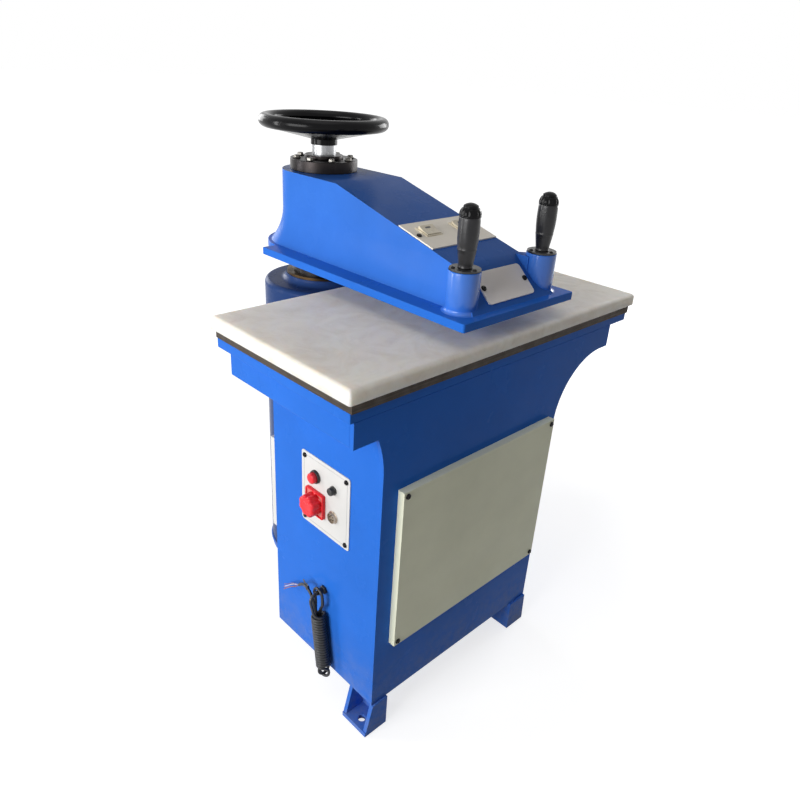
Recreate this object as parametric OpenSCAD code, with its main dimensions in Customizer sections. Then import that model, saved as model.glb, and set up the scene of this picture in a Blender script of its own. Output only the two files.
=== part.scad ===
// Swing arm clicker press in millimetres, +X to the operator's right, +Y to the rear, +Z up.
// The origin is on the floor, on the axis of the column that the arm swings about.

/* [Cutting board and table] */
// Length of the cutting board along X
board_l = 900; // [800:10:1100]
// Depth of the cutting board along Y
board_d = 440; // [400:5:560]
// Thickness of the cutting board
board_t = 28; // [20:1:60]
// Corner radius of the cutting board seen from above
board_corner_r = 5; // [5:1:60]
// Height of the cutting face above the floor
table_h = 887; // [840:1:980]
// Overhang of the board beyond the steel table at each end
board_end_over = 10; // [4:1:40]
// Overhang of the board beyond the steel table at front and rear
board_side_over = 10; // [4:1:30]
// Thickness of the dark sheet under the board
underlay_t = 20; // [3:1:25]
// Overhang of the dark sheet beyond the steel table
underlay_over = 4; // [0:1:6]
// Thickness of the steel table plate
table_t = 20; // [10:1:35]
// Clear distance from the tower to the board's rear edge
board_tower_gap = 55; // [40:1:120]

/* [Head box] */
// Reach of the head box to the left of the column axis
head_left = 431; // [390:1:450]
// Reach of the head box to the right of the column axis
head_right = 376; // [320:1:450]
// Height of the head box under the table plate
head_h = 53; // [35:1:90]
// Depth of the head box from the front face
head_d = 388; // [360:1:395]
// Wall of the head box
head_wall = 8; // [4:0.5:14]
// Radius of the small flare between cabinet and head on the left
flare_left_r = 224; // [120:1:300]
// Width of the small flare on the left
flare_left_w = 17; // [8:1:40]
// Radius of the large flare between cabinet and head on the right
flare_right_r = 155; // [60:1:170]

/* [Cabinet] */
// Width of the cabinet
cabinet_w = 550; // [500:2:600]
// Centre of the cabinet measured from the column axis
cabinet_x = -81; // [-110:1:-60]
// Depth of the cabinet from the front face
cabinet_d = 351; // [340:1:355]
// Height of the cabinet's lower edge above the floor
skirt_z = 83; // [60:1:110]
// Sheet of the cabinet
cabinet_wall = 5; // [3:0.5:8]
// Thickness of the flared front plate
front_t = 10; // [6:1:16]
// Inset of the service opening behind the front cover
service_inset = 20; // [14:1:40]

/* [Covers] */
// Width of the front cover
cover_w = 484; // [420:1:500]
// Height of the front cover
cover_h = 391; // [320:1:420]
// Height of the front cover's lower edge above the floor
cover_z = 246; // [200:1:300]
// Depth that the front cover stands proud
cover_t = 17; // [10:1:30]
// Sheet of the covers
cover_sheet = 3; // [2:0.5:5]
// Distance from the front cover's edges to its screws
cover_screw_inset = 10; // [10:1:20]
// Radius of the posts behind the cover screws
post_r = 9; // [7:0.5:11]
// Width of the rear access cover
rear_cover_w = 210; // [160:5:220]
// Height of the rear access cover
rear_cover_h = 236; // [160:1:300]
// Height of the rear access cover's lower edge above the floor
rear_cover_z = 369; // [280:1:420]
// Depth that the rear access cover stands proud
rear_cover_t = 14; // [6:1:18]

/* [Panel screws] */
// Thread radius of the panel screws
screw_r = 3; // [2:0.5:4]
// Head radius of the panel screws
screw_head_r = 5.5; // [5:0.5:7]
// Head height of the panel screws
screw_head_h = 3.4; // [2:0.2:5]
// Grip of the panel screws in the metal behind
screw_grip = 5; // [3:1:8]

/* [Feet and base] */
// Width of a front foot at its top
foot_w = 44; // [36:1:60]
// Outward slope of the left foot's base
foot_out_left = 20; // [8:1:30]
// Outward slope of the right foot's base
foot_out_right = 4; // [2:1:30]
// Inner overhang of the right foot
foot_in_right = 17; // [0:1:30]
// Length of a front foot along Y
foot_l = 79; // [60:1:120]
// Front foot ahead of the front face
foot_ahead = 5; // [0:1:9]
// Plate of the front feet
foot_plate = 12; // [8:1:16]
// Gusset of the front feet
foot_gusset = 10; // [6:1:14]
// Radius of the anchor holes
anchor_r = 9; // [6:0.5:10]
// Distance from a foot's outer edge to its anchor hole
anchor_inset = 22; // [18:1:26]
// Thickness of the rear base
base_t = 20; // [12:1:30]
// Width of the rear base's front part
base_w = 282; // [240:2:290]
// Reach of the rear base ahead of the tower
base_ahead = 69; // [60:1:100]
// Distance from the rear base's front edge to its anchor holes
rear_anchor_edge = 38; // [24:1:40]
// Distance between the rear anchor holes
rear_anchor_pitch = 220; // [180:2:240]

/* [Tower and neck] */
// Outer diameter of the tower
tower_d = 302; // [270:2:320]
// Inner diameter of the tower's cavity
tower_cavity_d = 220; // [214:2:240]
// Drop from the cutting face to the tower's shoulder
tower_drop = 47; // [40:1:60]
// Rounding of the tower's shoulder
shoulder_r = 12; // [4:1:20]
// Height of the collar neck above the shoulder
collar_h = 15; // [8:1:18]
// Width of the neck box between cabinet and tower
neck_w = 254; // [200:2:270]
// Wall of the neck box
neck_wall = 10; // [6:1:16]

/* [Column drive] */
// Diameter of the column
column_d = 160; // [140:2:164]
// Height of the column's lower end above the floor
column_z = 420; // [400:1:440]
// Bore of the column for the adjusting screw
column_bore_d = 72; // [60:2:90]
// Depth from the arm's roof to the top of the column
column_head_gap = 35; // [20:1:50]
// Wall of the column bushes
bush_wall = 10; // [6:0.5:12]
// Length of the lower bush
lower_bush_l = 90; // [60:1:110]
// Length of the upper bush
upper_bush_l = 105; // [80:1:110]
// Wall of the lift nut
nut_wall = 20; // [14:1:24]
// Height of the lift nut
nut_h = 70; // [50:1:90]
// Wall of the keyed guide sleeve
sleeve_wall = 8; // [6:0.5:10]
// Height of the keyed guide sleeve
sleeve_h = 150; // [120:1:152]
// Outer diameter of the hydraulic cylinder
cylinder_d = 124; // [116:2:130]
// Bore of the hydraulic cylinder
cylinder_bore_d = 90; // [80:2:96]
// Height of the hydraulic cylinder
cylinder_h = 242; // [220:1:250]
// Thickness of the cylinder's closed ends
cylinder_end = 22; // [16:1:28]
// Diameter of the piston rod
rod_d = 44; // [36:1:50]
// Height of the piston
piston_h = 35; // [25:1:45]
// Free height under the piston
piston_lift = 48; // [40:1:60]
// Wire diameter of the return spring
spring_wire = 10; // [6:1:12]
// Mean diameter of the return spring
spring_d = 100; // [90:1:108]
// Turns of the return spring
spring_turns = 6; // [4:1:7]

/* [Arm] */
// Gap between the cutting face and the arm's striking plate
daylight = 35; // [34:1:60]
// Width of the striking plate
arm_w = 352; // [310:2:400]
// Thickness of the striking plate
arm_plate_t = 17.5; // [12:0.5:25]
// Radius of the striking plate's front corners
arm_corner_r = 5; // [3:1:20]
// Striking plate ahead of the front face
arm_ahead = 4; // [0:1:12]
// Straight length of the striking plate behind the column axis
arm_tail = 12; // [0:1:30]
// Radius of the striking plate's round rear end
arm_tail_r = 140; // [135:1:150]
// Width of the arm's body at its top
body_w = 202; // [196:2:220]
// Height of the arm's body on the striking plate
body_h = 171.5; // [165:0.5:185]
// Widening of the body's flared foot on each side
flare_w = 30; // [15:1:35]
// Height of the body's flared foot
flare_h = 82; // [50:1:95]
// Distance from the column axis to the start of the slope
knee = 171; // [150:1:200]
// Front face behind the front edge of the striking plate, at its foot
nose_foot = 19; // [12:1:30]
// Front face behind the front edge of the striking plate, at its top
nose_top = 99; // [90:1:120]
// Height of the front face
nose_h = 73.5; // [60:0.5:85]
// Wall of the arm's casting
arm_wall = 12; // [8:1:14]
// Roof of the arm over the column
roof_t = 16; // [12:1:20]

/* [Handles] */
// Distance between the handle bosses
boss_pitch = 242; // [236:1:250]
// Handle bosses behind the front edge of the striking plate
boss_back = 58; // [50:1:70]
// Diameter of the handle bosses
boss_d = 63.4; // [56:0.2:66]
// Height of the handle bosses
boss_h = 80.5; // [60:0.5:95]
// Thickness of the webs between the bosses and the arm's body
boss_web = 14; // [8:1:18]
// Thickness of the discs on the bosses
disc_t = 4; // [3:0.5:8]
// Diameter of the grips at the bottom
grip_low_d = 29; // [26:0.5:32]
// Diameter of the grips at the middle
grip_mid_d = 39; // [34:0.5:42]
// Diameter of the grips at the top
grip_top_d = 41; // [38:0.5:44]
// Length of the grips
grip_l = 94; // [70:1:110]
// Height of the cap rings
cap_h = 16; // [12:0.5:18]
// Diameter of the thumb buttons
thumb_d = 28; // [22:0.5:30]
// Height of the thumb buttons over the cap rings
thumb_h = 9; // [9:0.5:18]
// Travel of the thumb buttons
thumb_travel = 4; // [2:0.5:5]

/* [Arm plates and rockers] */
// Width of the switch plate
switch_plate_w = 198; // [180:1:200]
// Length of the switch plate along the slope
switch_plate_l = 104; // [80:1:120]
// Distance from the column axis to the middle of the switch plate
switch_plate_y = 425; // [415:1:435]
// Thickness of the arm plates
arm_sheet = 3; // [2:0.5:4]
// Distance between the rockers
rocker_pitch = 100; // [70:1:110]
// Distance from the column axis to the rockers
rocker_y = 415; // [408:1:422]
// Length of the rocker frames along X
frame_l = 46; // [38:1:50]
// Width of the rocker frames along the slope
frame_w = 38; // [32:1:42]
// Rim of the rocker frames
frame_rim = 3; // [2:0.5:4]
// Tilt of a rocker at rest
rocker_tilt = 10; // [5:1:12]
// Width of the blank plate on the front face
blank_w = 146; // [120:1:150]
// Length of the blank plate along the front face
blank_l = 72; // [50:1:80]
// Distance between the blank plate's screws
blank_pitch = 130; // [100:1:132]
// Corner radius of the blank front plate
blank_corner_r = 9; // [4:1:12]
// Place of the blank plate's middle down the front face, as a share of the face
blank_place = 0.55; // [0.45:0.01:0.56]
// Distance between the switch plate's screws
switch_screw_pitch = 176; // [150:1:180]

/* [Height screw and handwheel] */
// Diameter of the adjusting screw
lead_d = 40; // [34:1:44]
// Length of the adjusting screw under the arm's roof
lead_l = 195; // [170:1:210]
// Diameter of the flange on the arm
flange_d = 164; // [150:1:180]
// Height of the flange on the arm
flange_h = 26; // [22:1:34]
// Number of the flange bolts
flange_bolts_n = 8; // [6:1:12]
// Pitch diameter of the flange bolts
flange_bolt_pcd = 134; // [122:1:140]
// Diameter of the bearing cap
cap_ring_d = 93; // [92:1:100]
// Height of the bearing cap
cap_ring_h = 9; // [6:1:12]
// Diameter of the thrust bearings
thrust_d = 89; // [84:1:90]
// Height of a thrust bearing
thrust_h = 10; // [8:0.5:10]
// Diameter of the bright collar
collar_d = 58; // [50:1:64]
// Height of the bright collar
bright_h = 22.7; // [16:0.1:30]
// Diameter of the handwheel
wheel_d = 310; // [260:2:360]
// Section diameter of the handwheel's rim
rim_d = 30; // [22:1:36]
// Diameter of the handwheel's hub
hub_d = 64; // [58:1:76]
// Height of the handwheel's hub
hub_h = 37; // [30:1:42]
// Height of the rim's middle over the top of the hub
rim_rise = 14; // [8:1:22]
// Thickness of the dished web
web_t = 11; // [6:0.5:14]
// Height of the web's foot over the lower end of the hub
web_rise = 12; // [6:1:20]

/* [Control plate] */
// Width of the control plate along Y
control_w = 157; // [150:1:180]
// Height of the control plate
control_h = 175; // [168:1:200]
// Height of the control plate's lower edge above the floor
control_z = 455; // [430:1:480]
// Control plate behind the front face
control_back = 90; // [80:1:100]
// Thickness of the control plate
control_t = 2; // [1.5:0.5:4]
// Inset of the control plate's screws
control_screw_inset = 11; // [9:1:12]
// Corner radius of the control plate
control_corner_r = 6; // [3:1:9]
// Diameter of the push button's ring
bezel_d = 30; // [28:1:34]
// Depth of the push button's ring
bezel_t = 6; // [5:0.5:9]
// Diameter of the push button's cap
button_d = 24; // [20:0.5:25]
// Height of the push button's cap over the plate
button_h = 17; // [14:0.5:22]
// Travel of the push button
button_travel = 4; // [2:0.5:4]
// Diameter of the fuse holder
fuse_d = 20; // [16:1:24]
// Height of the fuse holder over the plate
fuse_h = 12; // [8:1:18]
// Side of the main switch's square base
switch_base_w = 60; // [54:1:62]
// Height of the main switch's square base
switch_base_t = 8; // [6:0.5:12]
// Raised rim of the main switch's base
switch_rim = 3; // [2:0.5:5]
// Diameter of the main switch's knob
knob_d = 52; // [44:1:53]
// Height of the main switch's knob
knob_h = 24; // [18:1:34]
// Diameter of the round socket
socket_d = 28; // [24:1:32]
// Height of the round socket over the plate
socket_h = 7; // [5:0.5:10]

/* [Hydraulic unit] */
// Width of the oil tank
tank_w = 216; // [190:2:220]
// Depth of the oil tank
tank_d = 250; // [220:2:280]
// Height of the oil tank
tank_h = 212; // [180:2:240]
// Sheet of the oil tank
tank_wall = 4; // [3:0.5:6]
// Thickness of the oil tank's lid
lid_t = 8; // [6:1:12]
// Diameter of the motor
motor_d = 150; // [130:2:154]
// Height of the motor
motor_h = 200; // [160:2:240]
// Height of the bell housing between lid and motor
bell_h = 46; // [40:1:56]
// Diameter of the motor's shaft
shaft_d = 20; // [16:1:24]
// Diameter of the pump
pump_d = 84; // [70:1:90]
// Height of the pump
pump_h = 90; // [70:1:110]
// Side of the valve block
valve_w = 48; // [40:1:52]
// Height of the valve block
valve_h = 70; // [60:1:90]
// Diameter of the pressure pipe
pipe_d = 14; // [10:1:16]
// Height of the pressure pipe over the tank's lid
pipe_rise = 36; // [30:1:44]

/* [Control gear] */
// Width of the control gear's back plate
gear_w = 170; // [140:2:190]
// Height of the control gear's back plate
gear_h = 500; // [440:5:560]
// Thickness of the control gear's back plate
gear_t = 5; // [3:0.5:8]
// Control gear's back plate ahead of the cabinet's rear
gear_back = 85; // [80:1:95]

/* [Mains cord] */
// Diameter of the mains cord
cord_d = 6.8; // [6:0.2:9]
// Diameter of the cord gland
gland_d = 20; // [18:1:26]
// Length of the tapered cord gland outside the cabinet
gland_l = 24; // [20:1:30]
// Diameter of the wound hank
hank_d = 36; // [34:1:44]
// Length of the wound hank between the middles of its round ends
hank_l = 156; // [120:2:180]
// Lean of the hank from upright
hank_lean = 8; // [0:1:12]

/* [Fits] */
// Radial running fit of bushes, shafts and pins
running_fit = 0.05; // [0.02:0.01:0.1]
// Radial clearance around screws and buttons
loose_fit = 0.3; // [0.2:0.05:0.5]
// Gap under a plate that lies on a sloping face
seat_gap = 0.01; // [0.01:0.01:0.05]
// Axial clearance between faces that turn or slide past each other
face_gap = 0.3; // [0.2:0.05:0.5]

/* [Hidden] */
$fn = 64;
eps = 0.01;
// A cut goes this far past a face that it opens
past = 2;

// Heights
board_z = table_h - board_t;
underlay_z = board_z - underlay_t;
table_z = underlay_z - table_t;
head_z = table_z - head_h;
tower_z = table_h - tower_drop;
arm_z = table_h + daylight;
body_z = arm_z + arm_plate_t;
arm_top = body_z + body_h;
roof_z = arm_top - roof_t;
column_top = roof_z - column_head_gap;
flange_top = arm_top + flange_h;
cap_ring_top = flange_top + cap_ring_h;
bright_z = cap_ring_top + face_gap;
hub_z = bright_z + bright_h;
hub_top = hub_z + hub_h;
rim_z = hub_top + rim_rise;

// Radii
tower_r = tower_d / 2;
cavity_r = tower_cavity_d / 2;
column_r = column_d / 2;
bush_r = column_r + bush_wall;
sleeve_r = column_r + sleeve_wall;
lead_r = lead_d / 2;
nut_r = lead_r + nut_wall;
rod_r = rod_d / 2;
body_half = body_w / 2;
flare_r = (flare_h * flare_h + flare_w * flare_w) / (2 * flare_w);

// Places along Y
board_rear_y = -(tower_r + board_tower_gap);
board_mid_y = board_rear_y - board_d / 2;
table_d = board_d - 2 * board_side_over;
front_y = board_mid_y - table_d / 2;
cabinet_rear_y = front_y + cabinet_d;
head_rear_y = front_y + head_d;
arm_front_y = front_y - arm_ahead;
boss_y = arm_front_y + boss_back;
nose_y = arm_front_y + nose_top;
nose_foot_y = arm_front_y + nose_foot;

// Places along X
table_l = board_l - 2 * board_end_over;
cabinet_left = cabinet_x - cabinet_w / 2;
cabinet_right = cabinet_x + cabinet_w / 2;
boss_x = boss_pitch / 2;

// Slopes of the arm's top and front faces
nose_z = body_z + nose_h;
slope_a = atan((arm_top - nose_z) / (-knee - nose_y));
nose_a = atan(nose_h / (nose_y - nose_foot_y));

// Front cover
cover_left = 41;
cover_x = cabinet_left + cover_left + cover_w / 2;
// Room between the cover's edges and the cabinet opening's edges
service_w = cover_w - 2 * service_inset;
service_h = cover_h - 2 * service_inset;

// Rear access cover, flush with the cabinet's left side
rear_cover_x = cabinet_left + rear_cover_w / 2;
rear_rim = 20;

// Control plate on the cabinet's left side
control_y = front_y + control_back + control_w / 2;
control_mid_z = control_z + control_h / 2;
control_rim = 17;
control_face = cabinet_left - control_t;
button_y = control_y + 30;
button_rise = 129;
button_z = control_z + button_rise;
fuse_y = control_y - 28;
fuse_rise = 125;
fuse_z = control_z + fuse_rise;
switch_y = control_y + 28;
switch_z = control_z + 67;
socket_y = control_y - 28;
socket_z = control_z + 59;
switch_body_r = 19.5;
knob_post_r = 5;

// Column drive
cylinder_top = base_t + cylinder_h;
lower_bush_z = column_z + 50;
upper_bush_z = tower_z + collar_h - 5 - upper_bush_l;
bush_land = 10;
piston_z = base_t + cylinder_end + piston_lift;
port_z = cylinder_top - cylinder_end - 15;
port_r = 12;
port_y = -(cylinder_d / 2 + 13);

// Handles
disc_z = body_z + boss_h;
grip_z = disc_z + disc_t;
grip_top = grip_z + grip_l;
cap_top = grip_top + cap_h;
spigot_r = 9;
spigot_up = grip_l / 3;
spigot_down = boss_h / 3;
switch_pocket_r = 10;
switch_pocket_l = grip_l * 0.42;
thumb_r = thumb_d / 2;
thumb_low = cap_top - 7;

// Rockers
rocker_half_l = frame_l / 2 - frame_rim - loose_fit;
rocker_half_w = frame_w / 2 - frame_rim - 5 * loose_fit;
rocker_pin_r = 1.5;
plate_top = arm_sheet + seat_gap;
frame_body_l = frame_l - 2 * frame_rim + 4;
frame_body_w = frame_w - 2 * frame_rim + 4;
frame_slot_l = frame_body_l + 2 * loose_fit;
frame_slot_w = frame_body_w + 2 * loose_fit;
frame_depth = 18;
frame_proud = 2;

// Thrust bearing
thrust_bore_r = lead_r + 1;
thrust_seat_z = flange_top - thrust_h;

// Hydraulic unit
unit_x = cabinet_right - cabinet_wall - 8 - tank_w / 2;
unit_y = (front_y + cabinet_rear_y) / 2;
tank_z = skirt_z + cabinet_wall;
lid_z = tank_z + tank_h;
bell_z = lid_z + lid_t;
motor_z = bell_z + bell_h;
motor_x = unit_x + tank_w / 2 - motor_d / 2 - 4;
valve_x = unit_x - tank_w / 2 + valve_w / 2 + 6;
valve_y = unit_y + 20;
pipe_z = bell_z + pipe_rise;
pipe_hole_r = pipe_d / 2 + 6;
pipe_drop_y = -(cylinder_d / 2 + 28);

// Control gear
gear_left = 90;
gear_x = cabinet_left + gear_left + gear_w / 2;
gear_y = cabinet_rear_y - gear_back;

// Mains cord
gland_back = 170;
gland_y = front_y + gland_back;
gland_z = 300;
gland_face = cabinet_left - gland_l;
hank_x = cabinet_left - hank_d / 2 - 1;
hank_back = 145;
hank_y = front_y + hank_back;
hank_z = 84;
hank_top_y = hank_y + hank_l * sin(hank_lean);
hank_top_z = hank_z + hank_l * cos(hank_lean);
cord_end_z = hank_top_z + hank_d / 2;
cord_sunk_z = cord_end_z - 2;
bend_r = 2 * cord_d + 0.1;
wrap_r = hank_d / 2 - cord_d / 2 - 0.6;
exit_l = 2;
cord_route = concat(
    [[gland_face, gland_y, gland_z]],
    [for (a = [0:22.5:90])
        [gland_face - exit_l - bend_r * sin(a), gland_y, gland_z - bend_r * (1 - cos(a))]],
    [
        [gland_face - exit_l - bend_r + 0.2 * cord_d, gland_y, gland_z - 3.9 * cord_d],
        [hank_x - wrap_r, gland_y - 0.2 * cord_d, gland_z - 5.4 * cord_d],
        [hank_x - wrap_r, hank_top_y, cord_sunk_z]
    ]
);
// Points of the tail from the hank's top, in diameters of the cord
tail_shape = [
    [-0.8, 0.8, -0.3], [-0.9, 1.2, 1.2], [-1, 2, 3.2], [-1, 3.3, 5.2], [-0.9, 5, 6.3], [-0.75, 7, 6.2],
    [-0.6, 8.6, 5.3], [-0.4, 10.1, 3.9], [-0.2, 12.4, 2], [0, 14.9, 0], [0.15, 17.2, -1.8],
    [0.15, 19.3, -3.5]
];
tail_route = [for (p = tail_shape) [hank_x, hank_top_y, cord_end_z] + cord_d * p];
cord_sides = 10;

blue = "royalblue";
navy = "navy";
steel = "silver";
dark = "dimgray";

// Box that is centred in X and Y and stands on z
module slab(w, d, h, z) {
    translate([-w / 2, -d / 2, z]) cube([w, d, h]);
}

// Upright tube
module tube(outer_r, inner_r, h, z) {
    translate([0, 0, z]) difference() {
        cylinder(r = outer_r, h = h);
        translate([0, 0, -past]) cylinder(r = inner_r, h = h + 2 * past);
    }
}

// Rectangle with round corners
module rounded_rect(w, d, r) {
    square([w - 2 * r, d], center = true);
    square([w, d - 2 * r], center = true);
    for (sx = [-1, 1]) {
        for (sy = [-1, 1]) {
            translate([sx * (w / 2 - r), sy * (d / 2 - r)]) circle(r = r);
        }
    }
}

// Places a child on the arm's top slope, y behind the column axis
module on_slope(y) {
    translate([0, y, arm_top - (-knee - y) * tan(slope_a)]) rotate([slope_a, 0, 0]) children();
}

// Places a child on the arm's front face, part of the way down
module on_nose(part) {
    translate([0, nose_y + part * (nose_foot_y - nose_y), nose_z - part * nose_h])
        rotate([nose_a, 0, 0]) children();
}

// Turns a child from +Z to the cabinet's left side, -X
module on_left(x, y, z) {
    translate([x, y, z]) rotate([0, -90, 0]) children();
}

// Turns a child from +Z to the front, -Y
module on_front(x, y, z) {
    translate([x, y, z]) rotate([90, 0, 0]) children();
}

// Turns a child from +Z to the rear, +Y
module on_rear(x, y, z) {
    translate([x, y, z]) rotate([-90, 0, 0]) children();
}

// Button head screw that stands on z = 0 and grips the metal under it
module panel_screw(grip) {
    translate([0, 0, -grip]) cylinder(r = screw_r, h = grip + 1);
    difference() {
        cylinder(r = screw_head_r, h = screw_head_h);
        translate([0, 0, screw_head_h - 1.5]) cylinder(r = screw_r * 0.7, h = past, $fn = 6);
    }
}

// Corner points of a rectangle
function corners(w, h) = [[-w / 2, -h / 2], [w / 2, -h / 2], [w / 2, h / 2], [-w / 2, h / 2]];

// Points of a ring of a swept tube, square to the direction d
function ring(p, d, r, n) = let(
    t = d / norm(d),
    side = abs(t[0]) > 0.9 ? [0, 1, 0] : [1, 0, 0],
    u = cross(t, side) / norm(cross(t, side)),
    v = cross(t, u)
) [for (i = [0:n - 1]) p + r * (cos(360 * i / n) * u + sin(360 * i / n) * v)];

// Direction of a route at its point i
function heading(route, i) = route[min(i + 1, len(route) - 1)] - route[max(i - 1, 0)];

// Round tube swept along a route
module swept_tube(route, r, n) {
    count = len(route);
    points = [for (i = [0:count - 1]) each ring(route[i], heading(route, i), r, n)];
    walls = [for (i = [0:count - 2], k = [0:n - 1], half = [0, 1]) half == 0
        ? [i * n + k, i * n + (k + 1) % n, (i + 1) * n + k]
        : [i * n + (k + 1) % n, (i + 1) * n + (k + 1) % n, (i + 1) * n + k]];
    start = [[for (k = [n - 1:-1:0]) k]];
    finish = [[for (k = [0:n - 1]) (count - 1) * n + k]];
    polyhedron(points = points, faces = concat(walls, start, finish), convexity = 4);
}

module front_plate() {
    width = head_left + head_right;
    color(navy) difference() {
        translate([0, front_y + front_t, 0]) rotate([90, 0, 0]) linear_extrude(front_t) {
            translate([cabinet_left, skirt_z]) square([cabinet_w, head_z - skirt_z + eps]);
            translate([-head_left, head_z]) square([width, head_h]);
            // small flare on the left
            flare_drop = sqrt(flare_left_r * flare_left_r
                - (flare_left_r - flare_left_w) * (flare_left_r - flare_left_w));
            difference() {
                translate([cabinet_left - flare_left_w, head_z - flare_drop])
                    square([flare_left_w + 1, flare_drop + 1]);
                translate([cabinet_left - flare_left_r, head_z - flare_drop])
                    circle(r = flare_left_r, $fn = 128);
            }
            // large flare on the right
            difference() {
                translate([cabinet_right - 1, head_z - flare_right_r])
                    square([flare_right_r + 1, flare_right_r + 1]);
                translate([cabinet_right + flare_right_r, head_z - flare_right_r])
                    circle(r = flare_right_r, $fn = 128);
            }
        }
        translate([cover_x - service_w / 2, front_y - past, cover_z + service_inset])
            cube([service_w, front_t + 2 * past, service_h]);
        for (c = corners(cover_w - 2 * cover_screw_inset, cover_h - 2 * cover_screw_inset)) {
            on_front(cover_x + c[0], front_y + screw_grip, cover_z + cover_h / 2 + c[1])
                cylinder(r = screw_r + loose_fit, h = screw_grip + past);
        }
    }
}

module cabinet_shell() {
    inner_w = cabinet_w - 2 * cabinet_wall;
    inner_d = cabinet_d - front_t - cabinet_wall;
    inner_h = head_z - skirt_z - cabinet_wall;
    color(blue) difference() {
        translate([cabinet_left, front_y + front_t, skirt_z])
            cube([cabinet_w, cabinet_d - front_t, head_z - skirt_z]);
        translate([cabinet_left + cabinet_wall, front_y + front_t - past, skirt_z + cabinet_wall])
            cube([inner_w, inner_d + past, inner_h + past]);
        // service opening under the rear access cover
        translate([cabinet_left + rear_rim, cabinet_rear_y - cabinet_wall - past, rear_cover_z + rear_rim])
            cube([rear_cover_w - 2 * rear_rim, cabinet_wall + 2 * past, rear_cover_h - 2 * rear_rim]);
        for (c = corners(rear_cover_w - rear_rim, rear_cover_h - rear_rim)) {
            on_rear(rear_cover_x + c[0], cabinet_rear_y - screw_grip, rear_cover_z + rear_cover_h / 2 + c[1])
                cylinder(r = screw_r + loose_fit, h = screw_grip + past);
        }
        // way through to the neck for the pressure pipe
        on_rear(valve_x, cabinet_rear_y - cabinet_wall - past, pipe_z)
            cylinder(r = pipe_hole_r, h = cabinet_wall + 2 * past);
        // opening behind the control plate
        translate([cabinet_left - past, control_y - control_w / 2 + control_rim, control_z + control_rim])
            cube([cabinet_wall + 2 * past, control_w - 2 * control_rim, control_h - 2 * control_rim]);
        for (c = corners(control_w - 2 * control_screw_inset, control_h - 2 * control_screw_inset)) {
            on_left(cabinet_left + screw_grip, control_y + c[0], control_mid_z + c[1])
                cylinder(r = screw_r + loose_fit, h = screw_grip + past);
        }
        on_left(cabinet_left + cabinet_wall + past, gland_y, gland_z)
            cylinder(r = gland_d / 2 - 3 + running_fit, h = cabinet_wall + 2 * past);
    }
}

module head_box() {
    width = head_left + head_right;
    depth = head_d - front_t;
    color(blue) difference() {
        translate([-head_left, front_y + front_t, head_z]) cube([width, depth, head_h]);
        translate([-head_left + head_wall, front_y + front_t + head_wall, head_z + head_wall])
            cube([width - 2 * head_wall, depth - 2 * head_wall, head_h]);
        translate([cabinet_left + cabinet_wall + 30, front_y + front_t + 30, head_z - past])
            cube([cabinet_w - 2 * cabinet_wall - 60, cabinet_d - front_t - 60, head_wall + 2 * past]);
    }
}

module table_plate() {
    color(blue) translate([0, board_mid_y, 0]) slab(table_l, table_d, table_t, table_z);
}

module board_underlay() {
    color("saddlebrown") translate([0, board_mid_y, 0])
        slab(table_l, table_d + 2 * underlay_over, underlay_t, underlay_z);
}

module cutting_board() {
    color("wheat") translate([0, board_mid_y, board_z]) linear_extrude(board_t)
        rounded_rect(board_l, board_d, board_corner_r);
}

module front_cover() {
    color("slategray") difference() {
        union() {
            difference() {
                translate([cover_x - cover_w / 2, front_y - cover_t, cover_z])
                    cube([cover_w, cover_t, cover_h]);
                translate([cover_x - cover_w / 2 + cover_sheet, front_y - cover_t + cover_sheet,
                    cover_z + cover_sheet])
                    cube([cover_w - 2 * cover_sheet, cover_t, cover_h - 2 * cover_sheet]);
            }
            for (c = corners(cover_w - 2 * cover_screw_inset, cover_h - 2 * cover_screw_inset)) {
                on_front(cover_x + c[0], front_y, cover_z + cover_h / 2 + c[1])
                    cylinder(r = post_r, h = cover_t - cover_sheet / 2);
            }
        }
        for (c = corners(cover_w - 2 * cover_screw_inset, cover_h - 2 * cover_screw_inset)) {
            on_front(cover_x + c[0], front_y + past, cover_z + cover_h / 2 + c[1])
                cylinder(r = screw_r + loose_fit, h = cover_t + 2 * past);
        }
    }
}

module rear_cover() {
    color("whitesmoke") difference() {
        translate([rear_cover_x - rear_cover_w / 2, cabinet_rear_y, rear_cover_z])
            cube([rear_cover_w, rear_cover_t, rear_cover_h]);
        translate([rear_cover_x - rear_cover_w / 2 + rear_rim, cabinet_rear_y - past,
            rear_cover_z + rear_rim])
            cube([rear_cover_w - 2 * rear_rim, rear_cover_t + past - cover_sheet,
                rear_cover_h - 2 * rear_rim]);
        for (c = corners(rear_cover_w - rear_rim, rear_cover_h - rear_rim)) {
            on_rear(rear_cover_x + c[0], cabinet_rear_y - past, rear_cover_z + rear_cover_h / 2 + c[1])
                cylinder(r = screw_r + loose_fit, h = rear_cover_t + 2 * past);
        }
    }
}

module panel_screws() {
    color("black") {
        for (c = corners(cover_w - 2 * cover_screw_inset, cover_h - 2 * cover_screw_inset)) {
            on_front(cover_x + c[0], front_y - cover_t, cover_z + cover_h / 2 + c[1])
                panel_screw(cover_t + screw_grip);
        }
        for (c = corners(rear_cover_w - rear_rim, rear_cover_h - rear_rim)) {
            on_rear(rear_cover_x + c[0], cabinet_rear_y + rear_cover_t,
                rear_cover_z + rear_cover_h / 2 + c[1])
                panel_screw(rear_cover_t + screw_grip);
        }
        for (c = corners(control_w - 2 * control_screw_inset, control_h - 2 * control_screw_inset)) {
            on_left(control_face, control_y + c[0], control_mid_z + c[1])
                panel_screw(control_t + screw_grip);
        }
    }
}

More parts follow.
